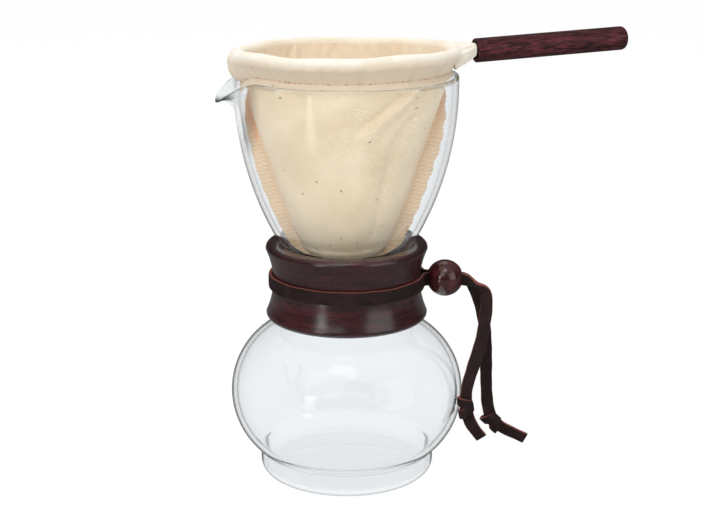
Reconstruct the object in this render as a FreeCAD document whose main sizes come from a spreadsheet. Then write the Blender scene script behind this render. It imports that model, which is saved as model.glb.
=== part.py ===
"""Cloth-drip coffee pot: a waisted glass pot with a pouring lip, a turned wooden collar in two
halves tied on with a leather lace and a bead, and a cotton filter bag on a wire ring with a
wooden handle. Millimetres, +Z up, origin in the middle of the foot, lip at -X, handle at +X."""

import FreeCAD
import Part

import math
import os
from types import SimpleNamespace

import Sketcher

SIZES = {
    # Glass pot: foot, bulb, neck and funnel
    "foot_radius": 41.4,
    "foot_edge": 5.5,
    "foot_fillet": 2.5,
    "bulb_radius": 55.0,
    "bulb_height": 40.2,
    "neck_radius": 23.5,
    "neck_height": 93.1,
    "neck_bow": 24.0,
    "funnel_radius": 51.1,
    "funnel_drop": 5.0,
    "rim_height": 191.0,
    "glass_wall": 2.2,
    # Pouring lip, its heights taken down from the rim
    "spout_reach": 61.5,
    "spout_root_drop": 26.0,
    "spout_tip_drop": 9.8,
    "spout_half_width": 25.0,
    "spout_nose_half": 3.6,
    "spout_nose_depth": 1.8,
    "spout_wall": 1.8,
    "lip_drop": 8.0,
    "overcut": 3.0,
    # Wooden collar, below and above the neck's waist
    "collar_turn": -17.0,
    "collar_below": 16.6,
    "collar_above": 19.5,
    "collar_wall": 11.1,
    "collar_swell": 3.3,
    "collar_round": 2.6,
    "collar_gap": 0.3,
    "collar_cover": 3.6,
    # Leather lace and bead
    "lace_lift": 0.25,
    "lace_width": 6.4,
    "lace_thickness": 1.9,
    "lace_seat": 0.1,
    "lace_gap": 0.25,
    "lace_fold": 2.4,
    "lace_run": 3.0,
    "tail_width": 5.4,
    "bead_radius": 8.6,
    "bead_gap": 0.3,
    "bead_slack": 0.35,
    "knot_width": 7.4,
    "knot_height": 10.0,
    "knot_depth": 5.4,
    "knot_round": 1.3,
    # Filter ring and handle
    "wire_radius": 1.3,
    "wire_gap": 0.3,
    "ring_overhang": 0.3,
    "ring_fold": 11.0,
    "ring_run": 6.0,
    "leg_spread": 1.8,
    "leg_length": 46.0,
    "leg_bend": 60.0,
    "handle_rise": 2.6,
    "handle_start": 62.2,
    "handle_length": 77.5,
    "handle_radius": 5.6,
    "handle_round": 2.4,
    "mouth_depth": 1.6,
    "mouth_radius": 4.4,
    # Cotton bag
    "cloth": 1.0,
    "hem_tube": 2.8,
    "hem_height": 9.0,
    "hem_sink": 0.4,
    "hem_seat": 0.35,
    "bag_gap": 0.2,
    "bag_pinch": 5.5,
    "toe_clear": 12.3,
    "toe_drop": 7.0,
    "toe_half_width": 9.0,
    "toe_half_depth": 6.0,
    "seam_room": 6.2,
    "seam_top_room": 2.1,
    "flap_gap": 1.4,
}

# Shares of the bag's depth at which its width is set, from hem to toe
BAG_STATIONS = (0.0, 0.15, 0.35, 0.59, 0.82, 1.0)
# Shares of the pouring lip's height at which its reach is set
SPOUT_STATIONS = (0.0, 0.4, 0.65, 0.82, 0.93, 1.0)

# The lace's free tails in the collar's own frame: x out through the bead, z up, front at -y
LEFT_TAIL = (
    (54.4, -1.1, 94.6),
    (60.2, -1.5, 92.4),
    (66.0, -2.8, 88.6),
    (65.6, -5.5, 78.8),
    (63.4, -9.0, 67.2),
    (59.6, -13.5, 54.8),
    (56.6, -17.0, 43.6),
    (56.0, -18.0, 35.2),
)
LEFT_KNOT = (56.0, -18.2, 29.8)
LEFT_END = ((57.3, -18.2, 24.2), (60.2, -17.9, 19.0), (64.2, -17.4, 14.2))
RIGHT_TAIL = (
    (54.4, 1.1, 94.6),
    (57.8, 1.2, 93.6),
    (60.4, 1.5, 90.4),
    (62.4, 1.9, 85.2),
    (64.8, 2.3, 76.4),
    (66.6, 2.5, 64.0),
    (66.6, 2.5, 51.0),
    (67.0, 2.4, 39.6),
    (68.5, 2.3, 29.6),
)
RIGHT_KNOT = (71.0, 2.3, 24.4)
RIGHT_END = ((74.4, 2.2, 20.2), (79.2, 2.0, 16.6), (85.4, 1.8, 13.4))
# How far each knot's lower end swings out, in degrees
RIGHT_KNOT_LEAN = 38.0
LEFT_KNOT_LEAN = 10.0


class Length:
    """A length worked out from the sheet: its value now, and the formula that binds it."""

    def __init__(self, value, formula):
        self.value = value
        self.formula = formula

    def __add__(self, other):
        other = length(other)
        return Length(self.value + other.value, f"({self.formula} + {other.formula})")

    def __sub__(self, other):
        other = length(other)
        return Length(self.value - other.value, f"({self.formula} - {other.formula})")

    def __mul__(self, other):
        other = length(other)
        return Length(self.value * other.value, f"({self.formula} * {other.formula})")

    def __truediv__(self, other):
        other = length(other)
        return Length(self.value / other.value, f"({self.formula} / {other.formula})")

    def __neg__(self):
        return Length(-self.value, f"(-{self.formula})")


def length(number):
    """A plain number as a length, or a length as it is."""
    if isinstance(number, Length):
        return number
    return Length(float(number), f"({float(number)})")


def root(square):
    """Square root of a length times a length."""
    return Length(math.sqrt(square.value), f"sqrt({square.formula})")


def cosine(angle):
    return Length(math.cos(math.radians(angle.value)), f"cos({angle.formula})")


def sine(angle):
    return Length(math.sin(math.radians(angle.value)), f"sin({angle.formula})")


doc = FreeCAD.newDocument("coffee_pot")
sheet = doc.addObject("Spreadsheet::Sheet", "sizes")
for row, (name, number) in enumerate(SIZES.items(), start=1):
    sheet.set(f"A{row}", name)
    sheet.set(f"B{row}", str(number))
    sheet.setAlias(f"B{row}", name)
doc.recompute()
S = SimpleNamespace(**{name: Length(number, f"sizes.{name}") for name, number in SIZES.items()})
ZERO = length(0)



def bow_to_neck(radius, height):
    """Bow of an arc that is widest at a radius and height and runs smoothly into the neck's arc."""
    aside = radius - S.neck_radius - S.neck_bow
    away = height - S.neck_height
    square = aside * aside + away * away - S.neck_bow * S.neck_bow
    return square / ((aside + S.neck_bow) * 2)


# What several pieces share
FUNNEL_HEIGHT = S.rim_height - S.funnel_drop
BULB_BOW = bow_to_neck(S.bulb_radius, S.bulb_height)
FUNNEL_BOW = bow_to_neck(S.funnel_radius, FUNNEL_HEIGHT)
COLLAR_BOTTOM = S.neck_height - S.collar_below
COLLAR_TOP = S.neck_height + S.collar_above
COLLAR_MIDDLE = (COLLAR_BOTTOM + COLLAR_TOP) / 2
COLLAR_WAIST = S.neck_radius + S.collar_wall
COLLAR_FLARE = COLLAR_WAIST + S.collar_swell
COLLAR_REACH = (COLLAR_TOP - COLLAR_BOTTOM) / 2 - S.collar_round
COLLAR_HOLLOW = (COLLAR_REACH * COLLAR_REACH + S.collar_swell * S.collar_swell) / (
    S.collar_swell * 2
)
# Heights at which the pot's foot, bulb, shoulder, neck and funnel meet
FOOT_BOW = BULB_BOW + S.foot_fillet
FOOT_ASIDE = S.foot_radius + S.foot_fillet - S.bulb_radius + BULB_BOW
FOOT_TOP = S.bulb_height - root(FOOT_BOW * FOOT_BOW - FOOT_ASIDE * FOOT_ASIDE)
SHOULDER_TOP = COLLAR_BOTTOM + S.collar_cover
BULB_TOP = (S.bulb_height + SHOULDER_TOP) / 2
NECK_TOP = COLLAR_TOP - S.collar_cover
MOUTH_RADIUS = S.funnel_radius - S.glass_wall
HEM_BOTTOM = S.rim_height - S.hem_sink
RING_HEIGHT = HEM_BOTTOM + S.hem_height
RING_RADIUS = MOUTH_RADIUS + S.ring_overhang
LACE_HEIGHT = COLLAR_MIDDLE + S.lace_lift
LACE_EDGE = S.lace_width / 2 + S.lace_lift
LACE_RISE = COLLAR_HOLLOW - root(COLLAR_HOLLOW * COLLAR_HOLLOW - LACE_EDGE * LACE_EDGE)
LACE_SPREAD = (S.lace_thickness + S.lace_gap) / 2
LACE_RING = COLLAR_WAIST + LACE_RISE + S.lace_seat + S.lace_thickness / 2
BEAD_BORE = root(S.lace_width * S.lace_width + LACE_SPREAD * LACE_SPREAD * 16) / 2 + S.bead_slack


def strand_start(ring, fold, run, spread):
    """Where two parallel strands begin that leave a ring by a straight run and a fold."""
    reach = (ring + fold) * (ring + fold) + run * run
    side = spread + fold
    return root(reach - side * side)


LACE_STRAND = strand_start(LACE_RING, S.lace_fold, S.lace_run, LACE_SPREAD)
BEAD_HALF_BORE = root(S.bead_radius * S.bead_radius - BEAD_BORE * BEAD_BORE)
BEAD_X = LACE_STRAND + S.bead_gap + BEAD_HALF_BORE
LEG_START = strand_start(RING_RADIUS, S.ring_fold, S.ring_run, S.leg_spread)
HANDLE_PIVOT = LEG_START + S.leg_bend * Length(
    math.tan(math.radians(S.handle_rise.value / 2)), "tan(sizes.handle_rise / 2)"
)


def new_body(label):
    body = doc.addObject("PartDesign::Body", label)
    body.Label = label
    return body


def plane_of(body, role):
    return next(f for f in body.Origin.OriginFeatures if f.Role == role)


def new_sketch(body, name, role, away=None):
    """A sketch on one of the body's origin planes, moved along the plane's normal by away."""
    sketch = body.newObject("Sketcher::SketchObject", name)
    sketch.AttachmentSupport = [(plane_of(body, role), "")]
    sketch.MapMode = "FlatFace"
    if away is not None:
        sketch.AttachmentOffset = FreeCAD.Placement(
            FreeCAD.Vector(0, 0, away.value), FreeCAD.Rotation()
        )
        sketch.setExpression("AttachmentOffset.Base.z", away.formula)
    return sketch


def drive(sketch, kind, places, size):
    """One dimension of a sketch, bound to the sheet."""
    index = sketch.addConstraint(Sketcher.Constraint(kind, *places, size.value))
    sketch.setExpression(f"Constraints[{index}]", size.formula)


def fix_point(sketch, edge, end, x, y):
    """Sets a corner's two coordinates from the sketch's origin, or puts it on an axis."""
    for kind, axis, size in (("DistanceX", -2, x), ("DistanceY", -1, y)):
        if size is ZERO:
            sketch.addConstraint(Sketcher.Constraint("PointOnObject", edge, end, axis))
        else:
            drive(sketch, kind, (-1, 1, edge, end), size)


def arc_between(start, stop, radius):
    """The arc of under a half circle from start to stop, turning left for a radius above 0."""
    chord = stop - start
    across = FreeCAD.Vector(-chord.y, chord.x, 0).normalize()
    rise = math.sqrt(max(radius * radius - chord.Length**2 / 4, 0.0))
    centre = (start + stop) / 2 + across * math.copysign(rise, radius)
    first, last = (start, stop) if radius > 0 else (stop, start)
    angles = [math.atan2(p.y - centre.y, p.x - centre.x) for p in (first, last)]
    circle = Part.Circle(centre, FreeCAD.Vector(0, 0, 1), abs(radius))
    return Part.ArcOfCircle(circle, angles[0], angles[1])


def outline(sketch, corners):
    """A closed outline. A corner is (x, y) with a straight edge to the next corner, or
    (x, y, radius, turn) with an arc of that radius that turns left (1) or right (-1)."""
    points = [FreeCAD.Vector(c[0].value, c[1].value, 0) for c in corners]
    ends = []
    for index, corner in enumerate(corners):
        start, stop = points[index], points[(index + 1) % len(points)]
        if len(corner) == 2:
            sketch.addGeometry(Part.LineSegment(start, stop))
            ends.append((1, 2))
        else:
            sketch.addGeometry(arc_between(start, stop, corner[2].value * corner[3]))
            ends.append((1, 2) if corner[3] > 0 else (2, 1))
    for index, corner in enumerate(corners):
        before = index - 1 if index else len(corners) - 1
        sketch.addConstraint(
            Sketcher.Constraint("Coincident", before, ends[before][1], index, ends[index][0])
        )
        fix_point(sketch, index, ends[index][0], corner[0], corner[1])
        if len(corner) == 4:
            drive(sketch, "Radius", (index,), corner[2])
    return sketch


def revolve(body, kind, sketch, axis="V_Axis", angle=360.0, flip=False):
    feature = body.newObject(f"PartDesign::{kind}", f"{kind}_{sketch.Name}")
    feature.Profile = sketch
    feature.ReferenceAxis = (sketch, [axis])
    feature.Angle = angle
    feature.Reversed = flip
    return feature


def loft(body, kind, sketches):
    feature = body.newObject(f"PartDesign::{kind}", f"{kind}_{sketches[0].Name}")
    feature.Profile = sketches[0]
    feature.Sections = sketches[1:]
    feature.Ruled = True
    return feature


def pad(body, sketch, depth):
    """A plate of the sketch, half its depth to each side of the sketch's plane."""
    feature = body.newObject("PartDesign::Pad", f"Pad_{sketch.Name}")
    feature.Profile = sketch
    feature.Midplane = True
    feature.setExpression("Length", depth.formula)
    return feature


def turn_with_collar(feature):
    """Turns a piece about the pot's axis to where the collar's bead points."""
    feature.Placement = FreeCAD.Placement(
        FreeCAD.Vector(), FreeCAD.Rotation(FreeCAD.Vector(0, 0, 1), S.collar_turn.value)
    )
    feature.setExpression("Placement.Rotation.Angle", S.collar_turn.formula)


def glass_outline(sketch, offset, top):
    """Half section of the pot's outside, moved outwards by offset: foot, foot edge, fillet,
    bulb, neck and funnel, tangent to each other, up to the height top."""
    out = offset.value
    foot_edge, foot_fillet = S.foot_edge.value, S.foot_fillet.value
    bulb_bow, neck_bow, funnel_bow = BULB_BOW.value, S.neck_bow.value, FUNNEL_BOW.value
    bulb = FreeCAD.Vector(S.bulb_radius.value - bulb_bow, S.bulb_height.value, 0)
    funnel = FreeCAD.Vector(S.funnel_radius.value - funnel_bow, FUNNEL_HEIGHT.value, 0)
    neck = FreeCAD.Vector(S.neck_radius.value + neck_bow, S.neck_height.value, 0)
    fillet_x = S.foot_radius.value + foot_fillet
    drop = math.sqrt((bulb_bow + foot_fillet) ** 2 - (fillet_x - bulb.x) ** 2)
    fillet = FreeCAD.Vector(fillet_x, bulb.y - drop, 0)
    edge = FreeCAD.Vector(S.foot_radius.value - foot_edge, foot_edge, 0)
    wall = S.foot_radius.value + out
    rim_x = funnel.x + math.sqrt((funnel_bow + out) ** 2 - (top.value - funnel.y) ** 2)

    def towards(centre, other):
        return math.atan2(other.y - centre.y, other.x - centre.x)

    def arc(centre, radius, first, last):
        circle = Part.Circle(centre, FreeCAD.Vector(0, 0, 1), radius)
        return Part.ArcOfCircle(circle, first, last)

    def line(x0, y0, x1, y1):
        return Part.LineSegment(FreeCAD.Vector(x0, y0, 0), FreeCAD.Vector(x1, y1, 0))

    sketch.addGeometry(
        [
            line(0, -out, edge.x, -out),
            arc(edge, foot_edge + out, -math.pi / 2, 0.0),
            line(wall, edge.y, wall, fillet.y),
            arc(fillet, foot_fillet - out, towards(fillet, bulb), math.pi),
            arc(bulb, bulb_bow + out, towards(bulb, fillet), towards(bulb, neck)),
            arc(neck, neck_bow - out, towards(neck, funnel), 2 * math.pi + towards(neck, bulb)),
            arc(
                funnel,
                funnel_bow + out,
                towards(funnel, neck),
                math.asin((top.value - funnel.y) / (funnel_bow + out)),
            ),
            line(rim_x, top.value, 0, top.value),
            line(0, top.value, 0, -out),
        ]
    )
    base, corner, side, groove, belly, waist, cone, lid, axis = range(9)
    for first, first_end, second, second_end in (
        (base, 2, corner, 1),
        (corner, 2, side, 1),
        (side, 2, groove, 2),
        (groove, 1, belly, 1),
        (belly, 2, waist, 2),
        (waist, 1, cone, 1),
    ):
        sketch.addConstraint(
            Sketcher.Constraint("Tangent", first, first_end, second, second_end)
        )
    for first, second in ((cone, lid), (lid, axis), (axis, base)):
        sketch.addConstraint(Sketcher.Constraint("Coincident", first, 2, second, 1))
    for kind, edge_index in (("Horizontal", base), ("Vertical", side), ("Horizontal", lid)):
        sketch.addConstraint(Sketcher.Constraint(kind, edge_index))
    sketch.addConstraint(Sketcher.Constraint("PointOnObject", axis, 1, -2))
    fix_point(sketch, base, 1, ZERO, ZERO if offset is ZERO else -offset)
    for edge_index, size in (
        (corner, S.foot_edge + offset),
        (groove, S.foot_fillet - offset),
        (belly, BULB_BOW + offset),
        (waist, S.neck_bow - offset),
        (cone, FUNNEL_BOW + offset),
    ):
        drive(sketch, "Radius", (edge_index,), size)
    drive(sketch, "DistanceX", (-1, 1, side, 1), S.foot_radius + offset)
    fix_point(sketch, belly, 3, S.bulb_radius - BULB_BOW, S.bulb_height)
    fix_point(sketch, cone, 3, S.funnel_radius - FUNNEL_BOW, FUNNEL_HEIGHT)
    drive(sketch, "DistanceY", (-1, 1, lid, 1), top)
    return sketch


def funnel_radius(height, inset):
    """Radius of the glass funnel at a height, inset from its outside."""
    bow = FUNNEL_BOW - inset
    rise = height - FUNNEL_HEIGHT
    return S.funnel_radius - FUNNEL_BOW + root(bow * bow - rise * rise)


def spout_sections(body, name, inset, lift, top):
    """Level sections of the pouring lip, from inside the wall to the tip, and up to top."""
    base = S.rim_height - S.spout_root_drop
    at_root = funnel_radius(base, ZERO)
    start = at_root - S.glass_wall * 0.45
    corner = at_root - S.glass_wall * 0.745
    back = root(corner * corner - S.spout_half_width * S.spout_half_width)
    heights, shares = [], []
    for share in SPOUT_STATIONS:
        rise = (S.spout_root_drop - S.spout_tip_drop) * share
        heights.append(base + rise + lift)
        shares.append(share)
    heights.append(top)
    shares.append(1.0)
    sketches = []
    for index, (height, share) in enumerate(zip(heights, shares)):
        # The lip curls out ever faster towards its tip
        reach = start + (S.spout_reach - start) * share**3.2 - inset
        nose_half = S.spout_nose_half * (2.8 - 1.8 * share) - inset * 0.6
        nose_depth = S.spout_nose_depth * (0.5 + 0.5 * share)
        half_width = S.spout_half_width - inset
        bend = (nose_half * nose_half + nose_depth * nose_depth) / (nose_depth * 2)
        sketch = new_sketch(body, f"{name}_{index}", "XY_Plane", height)
        outline(
            sketch,
            [
                (-back, -half_width),
                (-back, half_width),
                (nose_depth - reach, nose_half, bend, 1),
                (nose_depth - reach, -nose_half),
            ],
        )
        sketches.append(sketch)
    return sketches


def cut_level(body, name, low, high):
    """Takes away all of the glass between two heights."""
    rest = new_sketch(body, name, "XZ_Plane")
    beyond = S.bulb_radius + S.spout_reach
    outline(rest, [(ZERO, low), (beyond, low), (beyond, high), (ZERO, high)])
    revolve(body, "Groove", rest)


def glass_level(label, low, high):
    """A stretch of the blown pot between two heights: a ring, or a cup where it holds the foot."""
    body = new_body(label)
    outside = new_sketch(body, f"{label}_outside", "XZ_Plane")
    glass_outline(outside, ZERO, S.rim_height)
    revolve(body, "Revolution", outside)
    inside = new_sketch(body, f"{label}_inside", "XZ_Plane")
    glass_outline(inside, -S.glass_wall, S.rim_height + S.overcut)
    revolve(body, "Groove", inside)
    cut_level(body, f"above_{label}", high, S.rim_height + S.overcut)
    if low is not ZERO:
        cut_level(body, f"below_{label}", -S.overcut, low)
    return body


def glass_funnel():
    """The blown pot above its neck: a funnel with a pouring lip."""
    body = new_body("glass_funnel")
    outside = glass_outline(new_sketch(body, "funnel_outside", "XZ_Plane"), ZERO, S.rim_height)
    revolve(body, "Revolution", outside)
    sections = spout_sections(body, "lip_outside", ZERO, ZERO, S.rim_height)
    loft(body, "AdditiveLoft", sections)
    inside = new_sketch(body, "funnel_inside", "XZ_Plane")
    glass_outline(inside, -S.glass_wall, S.rim_height + S.overcut)
    revolve(body, "Groove", inside)
    channel = spout_sections(
        body, "lip_inside", S.spout_wall, S.spout_wall, S.rim_height + S.overcut
    )
    loft(body, "SubtractiveLoft", channel)
    lip = new_sketch(body, "lip_edge", "XZ_Plane")
    behind = S.overcut - MOUTH_RADIUS
    beyond = -(S.spout_reach + S.overcut)
    outline(
        lip,
        [
            (behind, S.rim_height),
            (behind, S.rim_height + S.overcut * 2),
            (beyond, S.rim_height + S.overcut * 2),
            (beyond, S.rim_height - S.lip_drop),
        ],
    )
    cut = body.newObject("PartDesign::Pocket", "lip_cut")
    cut.Profile = lip
    cut.Midplane = True
    cut.setExpression("Length", (S.spout_half_width * 2.4).formula)
    cut_level(body, "below_funnel", -S.overcut, NECK_TOP)
    return body


def collar_half(label, flip):
    """Half of the turned collar: a ring with a hollowed side and rounded ends, bored to the neck."""
    body = new_body(label)
    inner_end = COLLAR_FLARE - S.collar_round
    profile = new_sketch(body, f"{label}_profile", "XZ_Plane")
    outline(
        profile,
        [
            (ZERO, COLLAR_BOTTOM),
            (inner_end, COLLAR_BOTTOM, S.collar_round, 1),
            (COLLAR_FLARE, COLLAR_BOTTOM + S.collar_round, COLLAR_HOLLOW, -1),
            (COLLAR_WAIST, COLLAR_MIDDLE, COLLAR_HOLLOW, -1),
            (COLLAR_FLARE, COLLAR_TOP - S.collar_round, S.collar_round, 1),
            (inner_end, COLLAR_TOP),
            (ZERO, COLLAR_TOP),
        ],
    )
    revolve(body, "Revolution", profile, angle=180.0, flip=flip)
    bore = glass_outline(
        new_sketch(body, f"{label}_bore", "XZ_Plane"), S.collar_gap, S.rim_height
    )
    revolve(body, "Groove", bore)
    turn_with_collar(body)
    return body


def bead():
    """Turned wooden ball, bored for both strands of the lace."""
    body = new_body("bead")
    profile = new_sketch(body, "bead_profile", "XZ_Plane")
    outline(
        profile,
        [
            (-BEAD_HALF_BORE, BEAD_BORE),
            (BEAD_HALF_BORE, BEAD_BORE, S.bead_radius, 1),
            (ZERO, S.bead_radius, S.bead_radius, 1),
        ],
    )
    revolve(body, "Revolution", profile, axis="H_Axis")
    turn_with_collar(body)
    body.setExpression("Placement.Base.x", (BEAD_X * cosine(S.collar_turn)).formula)
    body.setExpression("Placement.Base.y", (BEAD_X * sine(S.collar_turn)).formula)
    body.setExpression("Placement.Base.z", LACE_HEIGHT.formula)
    return body


def arc_edge(start, centre, stop):
    """The short arc from start to stop about centre."""
    radius = (start - centre).Length
    mid = centre + ((start + stop) / 2 - centre).normalize() * radius
    return Part.Arc(start, mid, stop).toShape()


def keyhole(ring, fold, run, spread, strand_end, height, rise=0.0, bend=1.0):
    """Edges of a ring about the Z axis whose two ends run out along +X as parallel strands,
    and climb by the angle rise through an upward bend."""
    begin = math.sqrt((ring + fold) ** 2 + run**2 - (spread + fold) ** 2)
    fold_centre = FreeCAD.Vector(begin, spread + fold, height)
    lean = math.atan2(spread + fold, begin) + math.atan2(run, ring + fold)
    touch = FreeCAD.Vector(ring * math.cos(lean), ring * math.sin(lean), height)
    leave = fold_centre - FreeCAD.Vector(fold * math.cos(lean), fold * math.sin(lean), 0)
    knee = FreeCAD.Vector(begin, spread, height)
    edges = []
    if rise:
        angle = math.radians(rise)
        foot = knee + FreeCAD.Vector(bend * math.sin(angle), 0, bend * (1 - math.cos(angle)))
        along = FreeCAD.Vector(math.cos(angle), 0, math.sin(angle))
        tip = foot + along * ((strand_end - foot.x) / along.x)
        edges.append(Part.LineSegment(tip, foot).toShape())
        edges.append(arc_edge(foot, knee + FreeCAD.Vector(0, 0, bend), knee))
    else:
        edges.append(Part.LineSegment(FreeCAD.Vector(strand_end, spread, height), knee).toShape())
    edges.append(arc_edge(knee, fold_centre, leave))
    edges.append(Part.LineSegment(leave, touch).toShape())
    back = FreeCAD.Vector(-ring, 0, height)
    top = FreeCAD.Vector(ring * math.cos((lean + math.pi) / 2), 0, height)
    top.y = ring * math.sin((lean + math.pi) / 2)
    edges.append(Part.Arc(touch, top, back).toShape())
    mirrored = [e.mirror(FreeCAD.Vector(), FreeCAD.Vector(0, 1, 0)) for e in reversed(edges)]
    return Part.Wire(edges + mirrored)


def sweep(path, section, thickness_way=None):
    """A solid of the section carried along the path. A flat section keeps its thin side
    along thickness_way."""
    shell = Part.BRepOffsetAPI.MakePipeShell(path)
    if thickness_way is not None:
        shell.setBiNormalMode(thickness_way)
    shell.add(section)
    shell.build()
    shell.makeSolid()
    return shell.shape()


def strap_section(start, way, width, thickness):
    """A flat rectangle across way at start, its thickness along Y."""
    across = FreeCAD.Vector(-way.z, 0, way.x).normalize() * (width / 2)
    thin = FreeCAD.Vector(0, thickness / 2, 0)
    corners = [start + across + thin, start - across + thin, start - across - thin]
    corners.append(start + across - thin)
    return Part.makePolygon(corners + corners[:1])


def feature(label, shape):
    made = doc.addObject("Part::Feature", label)
    made.Label = label
    made.Shape = shape
    return made


def lace_loop():
    """The lace round the collar's waist, folded out so that both ends run through the bead."""
    strand_end = (BEAD_X + BEAD_HALF_BORE).value - S.lace_width.value / 4
    spread, height = LACE_SPREAD.value, LACE_HEIGHT.value
    path = keyhole(
        LACE_RING.value, S.lace_fold.value, S.lace_run.value, spread, strand_end, height
    )
    start = FreeCAD.Vector(strand_end, spread, height)
    half_wide = FreeCAD.Vector(0, 0, S.lace_width.value / 2)
    half_thick = FreeCAD.Vector(0, S.lace_thickness.value / 2, 0)
    corners = [start + half_wide + half_thick, start - half_wide + half_thick]
    corners += [start - half_wide - half_thick, start + half_wide - half_thick]
    section = Part.makePolygon(corners + corners[:1])
    loop = feature("lace_loop", sweep(path, section, FreeCAD.Vector(0, 0, 1)))
    turn_with_collar(loop)
    return loop


def rounded_route(name, points):
    """Straight runs joined by tangent arcs, each as large as its two runs allow."""
    points = [FreeCAD.Vector(*p) for p in points]
    edges, radii, here = [], [], points[0]
    for before, corner, after in zip(points, points[1:], points[2:]):
        way_in, way_out = (corner - before), (after - corner)
        turn = way_in.getAngle(way_out)
        trim = 0.45 * min(way_in.Length, way_out.Length)
        radii.append(trim / math.tan(turn / 2))
        way_in.normalize()
        way_out.normalize()
        first, last = corner - way_in * trim, corner + way_out * trim
        middle = (way_out - way_in).normalize()
        centre = corner + middle * (radii[-1] / math.cos(turn / 2))
        edges.append(Part.LineSegment(here, first).toShape())
        edges.append(Part.Arc(first, centre - middle * radii[-1], last).toShape())
        here = last
    edges.append(Part.LineSegment(here, points[-1]).toShape())
    path = Part.Wire(edges)
    print(name, "length", round(path.Length, 1), "radii", [round(r, 1) for r in radii])
    return path


def lace_strap(label, points):
    """A free stretch of lace along a route, thin from front to back."""
    path = rounded_route(label, points)
    start = FreeCAD.Vector(*points[0])
    way = FreeCAD.Vector(*points[1]) - start
    section = strap_section(start, way, S.tail_width.value, S.lace_thickness.value)
    strap = feature(label, sweep(path, section, FreeCAD.Vector(0, 1, 0)))
    share = strap.Shape.Volume / (S.tail_width.value * S.lace_thickness.value * path.Length)
    print(label, "volume over section times length", round(share, 3))
    turn_with_collar(strap)
    return strap


def knot(label, centre, lean):
    """A lace knot drawn flat: a five-sided lump with rounded edges."""
    body = new_body(label)
    outline_sketch = new_sketch(body, f"{label}_outline", "XZ_Plane")
    half, tall = S.knot_width / 2, S.knot_height / 2
    outline(
        outline_sketch,
        [
            (-half * 0.6, -tall),
            (half * 0.6, -tall),
            (half, tall * 0.1),
            (half * 0.45, tall),
            (-half * 0.45, tall),
            (-half, tall * 0.1),
        ],
    )
    lump = pad(body, outline_sketch, S.knot_depth)
    doc.recompute()
    rounding = body.newObject("PartDesign::Fillet", f"{label}_rounding")
    rounding.Base = (lump, [f"Edge{i + 1}" for i in range(len(lump.Shape.Edges))])
    rounding.setExpression("Radius", S.knot_round.formula)
    turn = FreeCAD.Rotation(FreeCAD.Vector(0, 0, 1), S.collar_turn.value)
    body.Placement = FreeCAD.Placement(
        turn.multVec(FreeCAD.Vector(*centre)),
        turn.multiply(FreeCAD.Rotation(FreeCAD.Vector(0, 1, 0), -lean)),
    )
    return body


def wire_path():
    strand_end = S.handle_start.value + S.leg_length.value
    return keyhole(
        RING_RADIUS.value,
        S.ring_fold.value,
        S.ring_run.value,
        S.leg_spread.value,
        strand_end,
        RING_HEIGHT.value,
        S.handle_rise.value,
        S.leg_bend.value,
    )


def wire_sweep(radius):
    path = wire_path()
    start = path.OrderedVertexes[0].Point
    way = path.OrderedEdges[0].tangentAt(path.OrderedEdges[0].FirstParameter)
    return sweep(path, Part.Wire(Part.makeCircle(radius, start, way)))


def wire_ring():
    """One steel wire: the ring that holds the bag open and two legs for the handle."""
    return feature("wire_ring", wire_sweep(S.wire_radius.value))


def handle():
    """Turned wooden grip, bored for the ring's two legs, which climb a little."""
    body = new_body("handle")
    profile = new_sketch(body, "handle_profile", "XZ_Plane")
    near = S.handle_start - HANDLE_PIVOT
    far = near + S.handle_length
    bore = S.leg_spread + S.wire_radius + S.wire_gap
    bore_end = near + S.leg_length + S.wire_gap * 4
    outline(
        profile,
        [
            (near, S.mouth_radius),
            (near + S.mouth_depth, bore),
            (bore_end, bore),
            (bore_end, ZERO),
            (far, ZERO, S.handle_radius * 1.6, 1),
            (far - S.handle_round, S.handle_radius - S.handle_round / 2),
            (far - S.handle_round * 1.6, S.handle_radius),
            (near + S.handle_round / 4, S.handle_radius),
            (near, S.handle_radius - S.handle_round / 4),
        ],
    )
    revolve(body, "Revolution", profile, axis="H_Axis")
    body.Placement = FreeCAD.Placement(
        FreeCAD.Vector(HANDLE_PIVOT.value, 0, RING_HEIGHT.value),
        FreeCAD.Rotation(FreeCAD.Vector(0, -1, 0), S.handle_rise.value),
    )
    body.setExpression("Placement.Base.x", HANDLE_PIVOT.formula)
    body.setExpression("Placement.Base.z", RING_HEIGHT.formula)
    body.setExpression("Placement.Rotation.Angle", S.handle_rise.formula)
    return body


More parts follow.
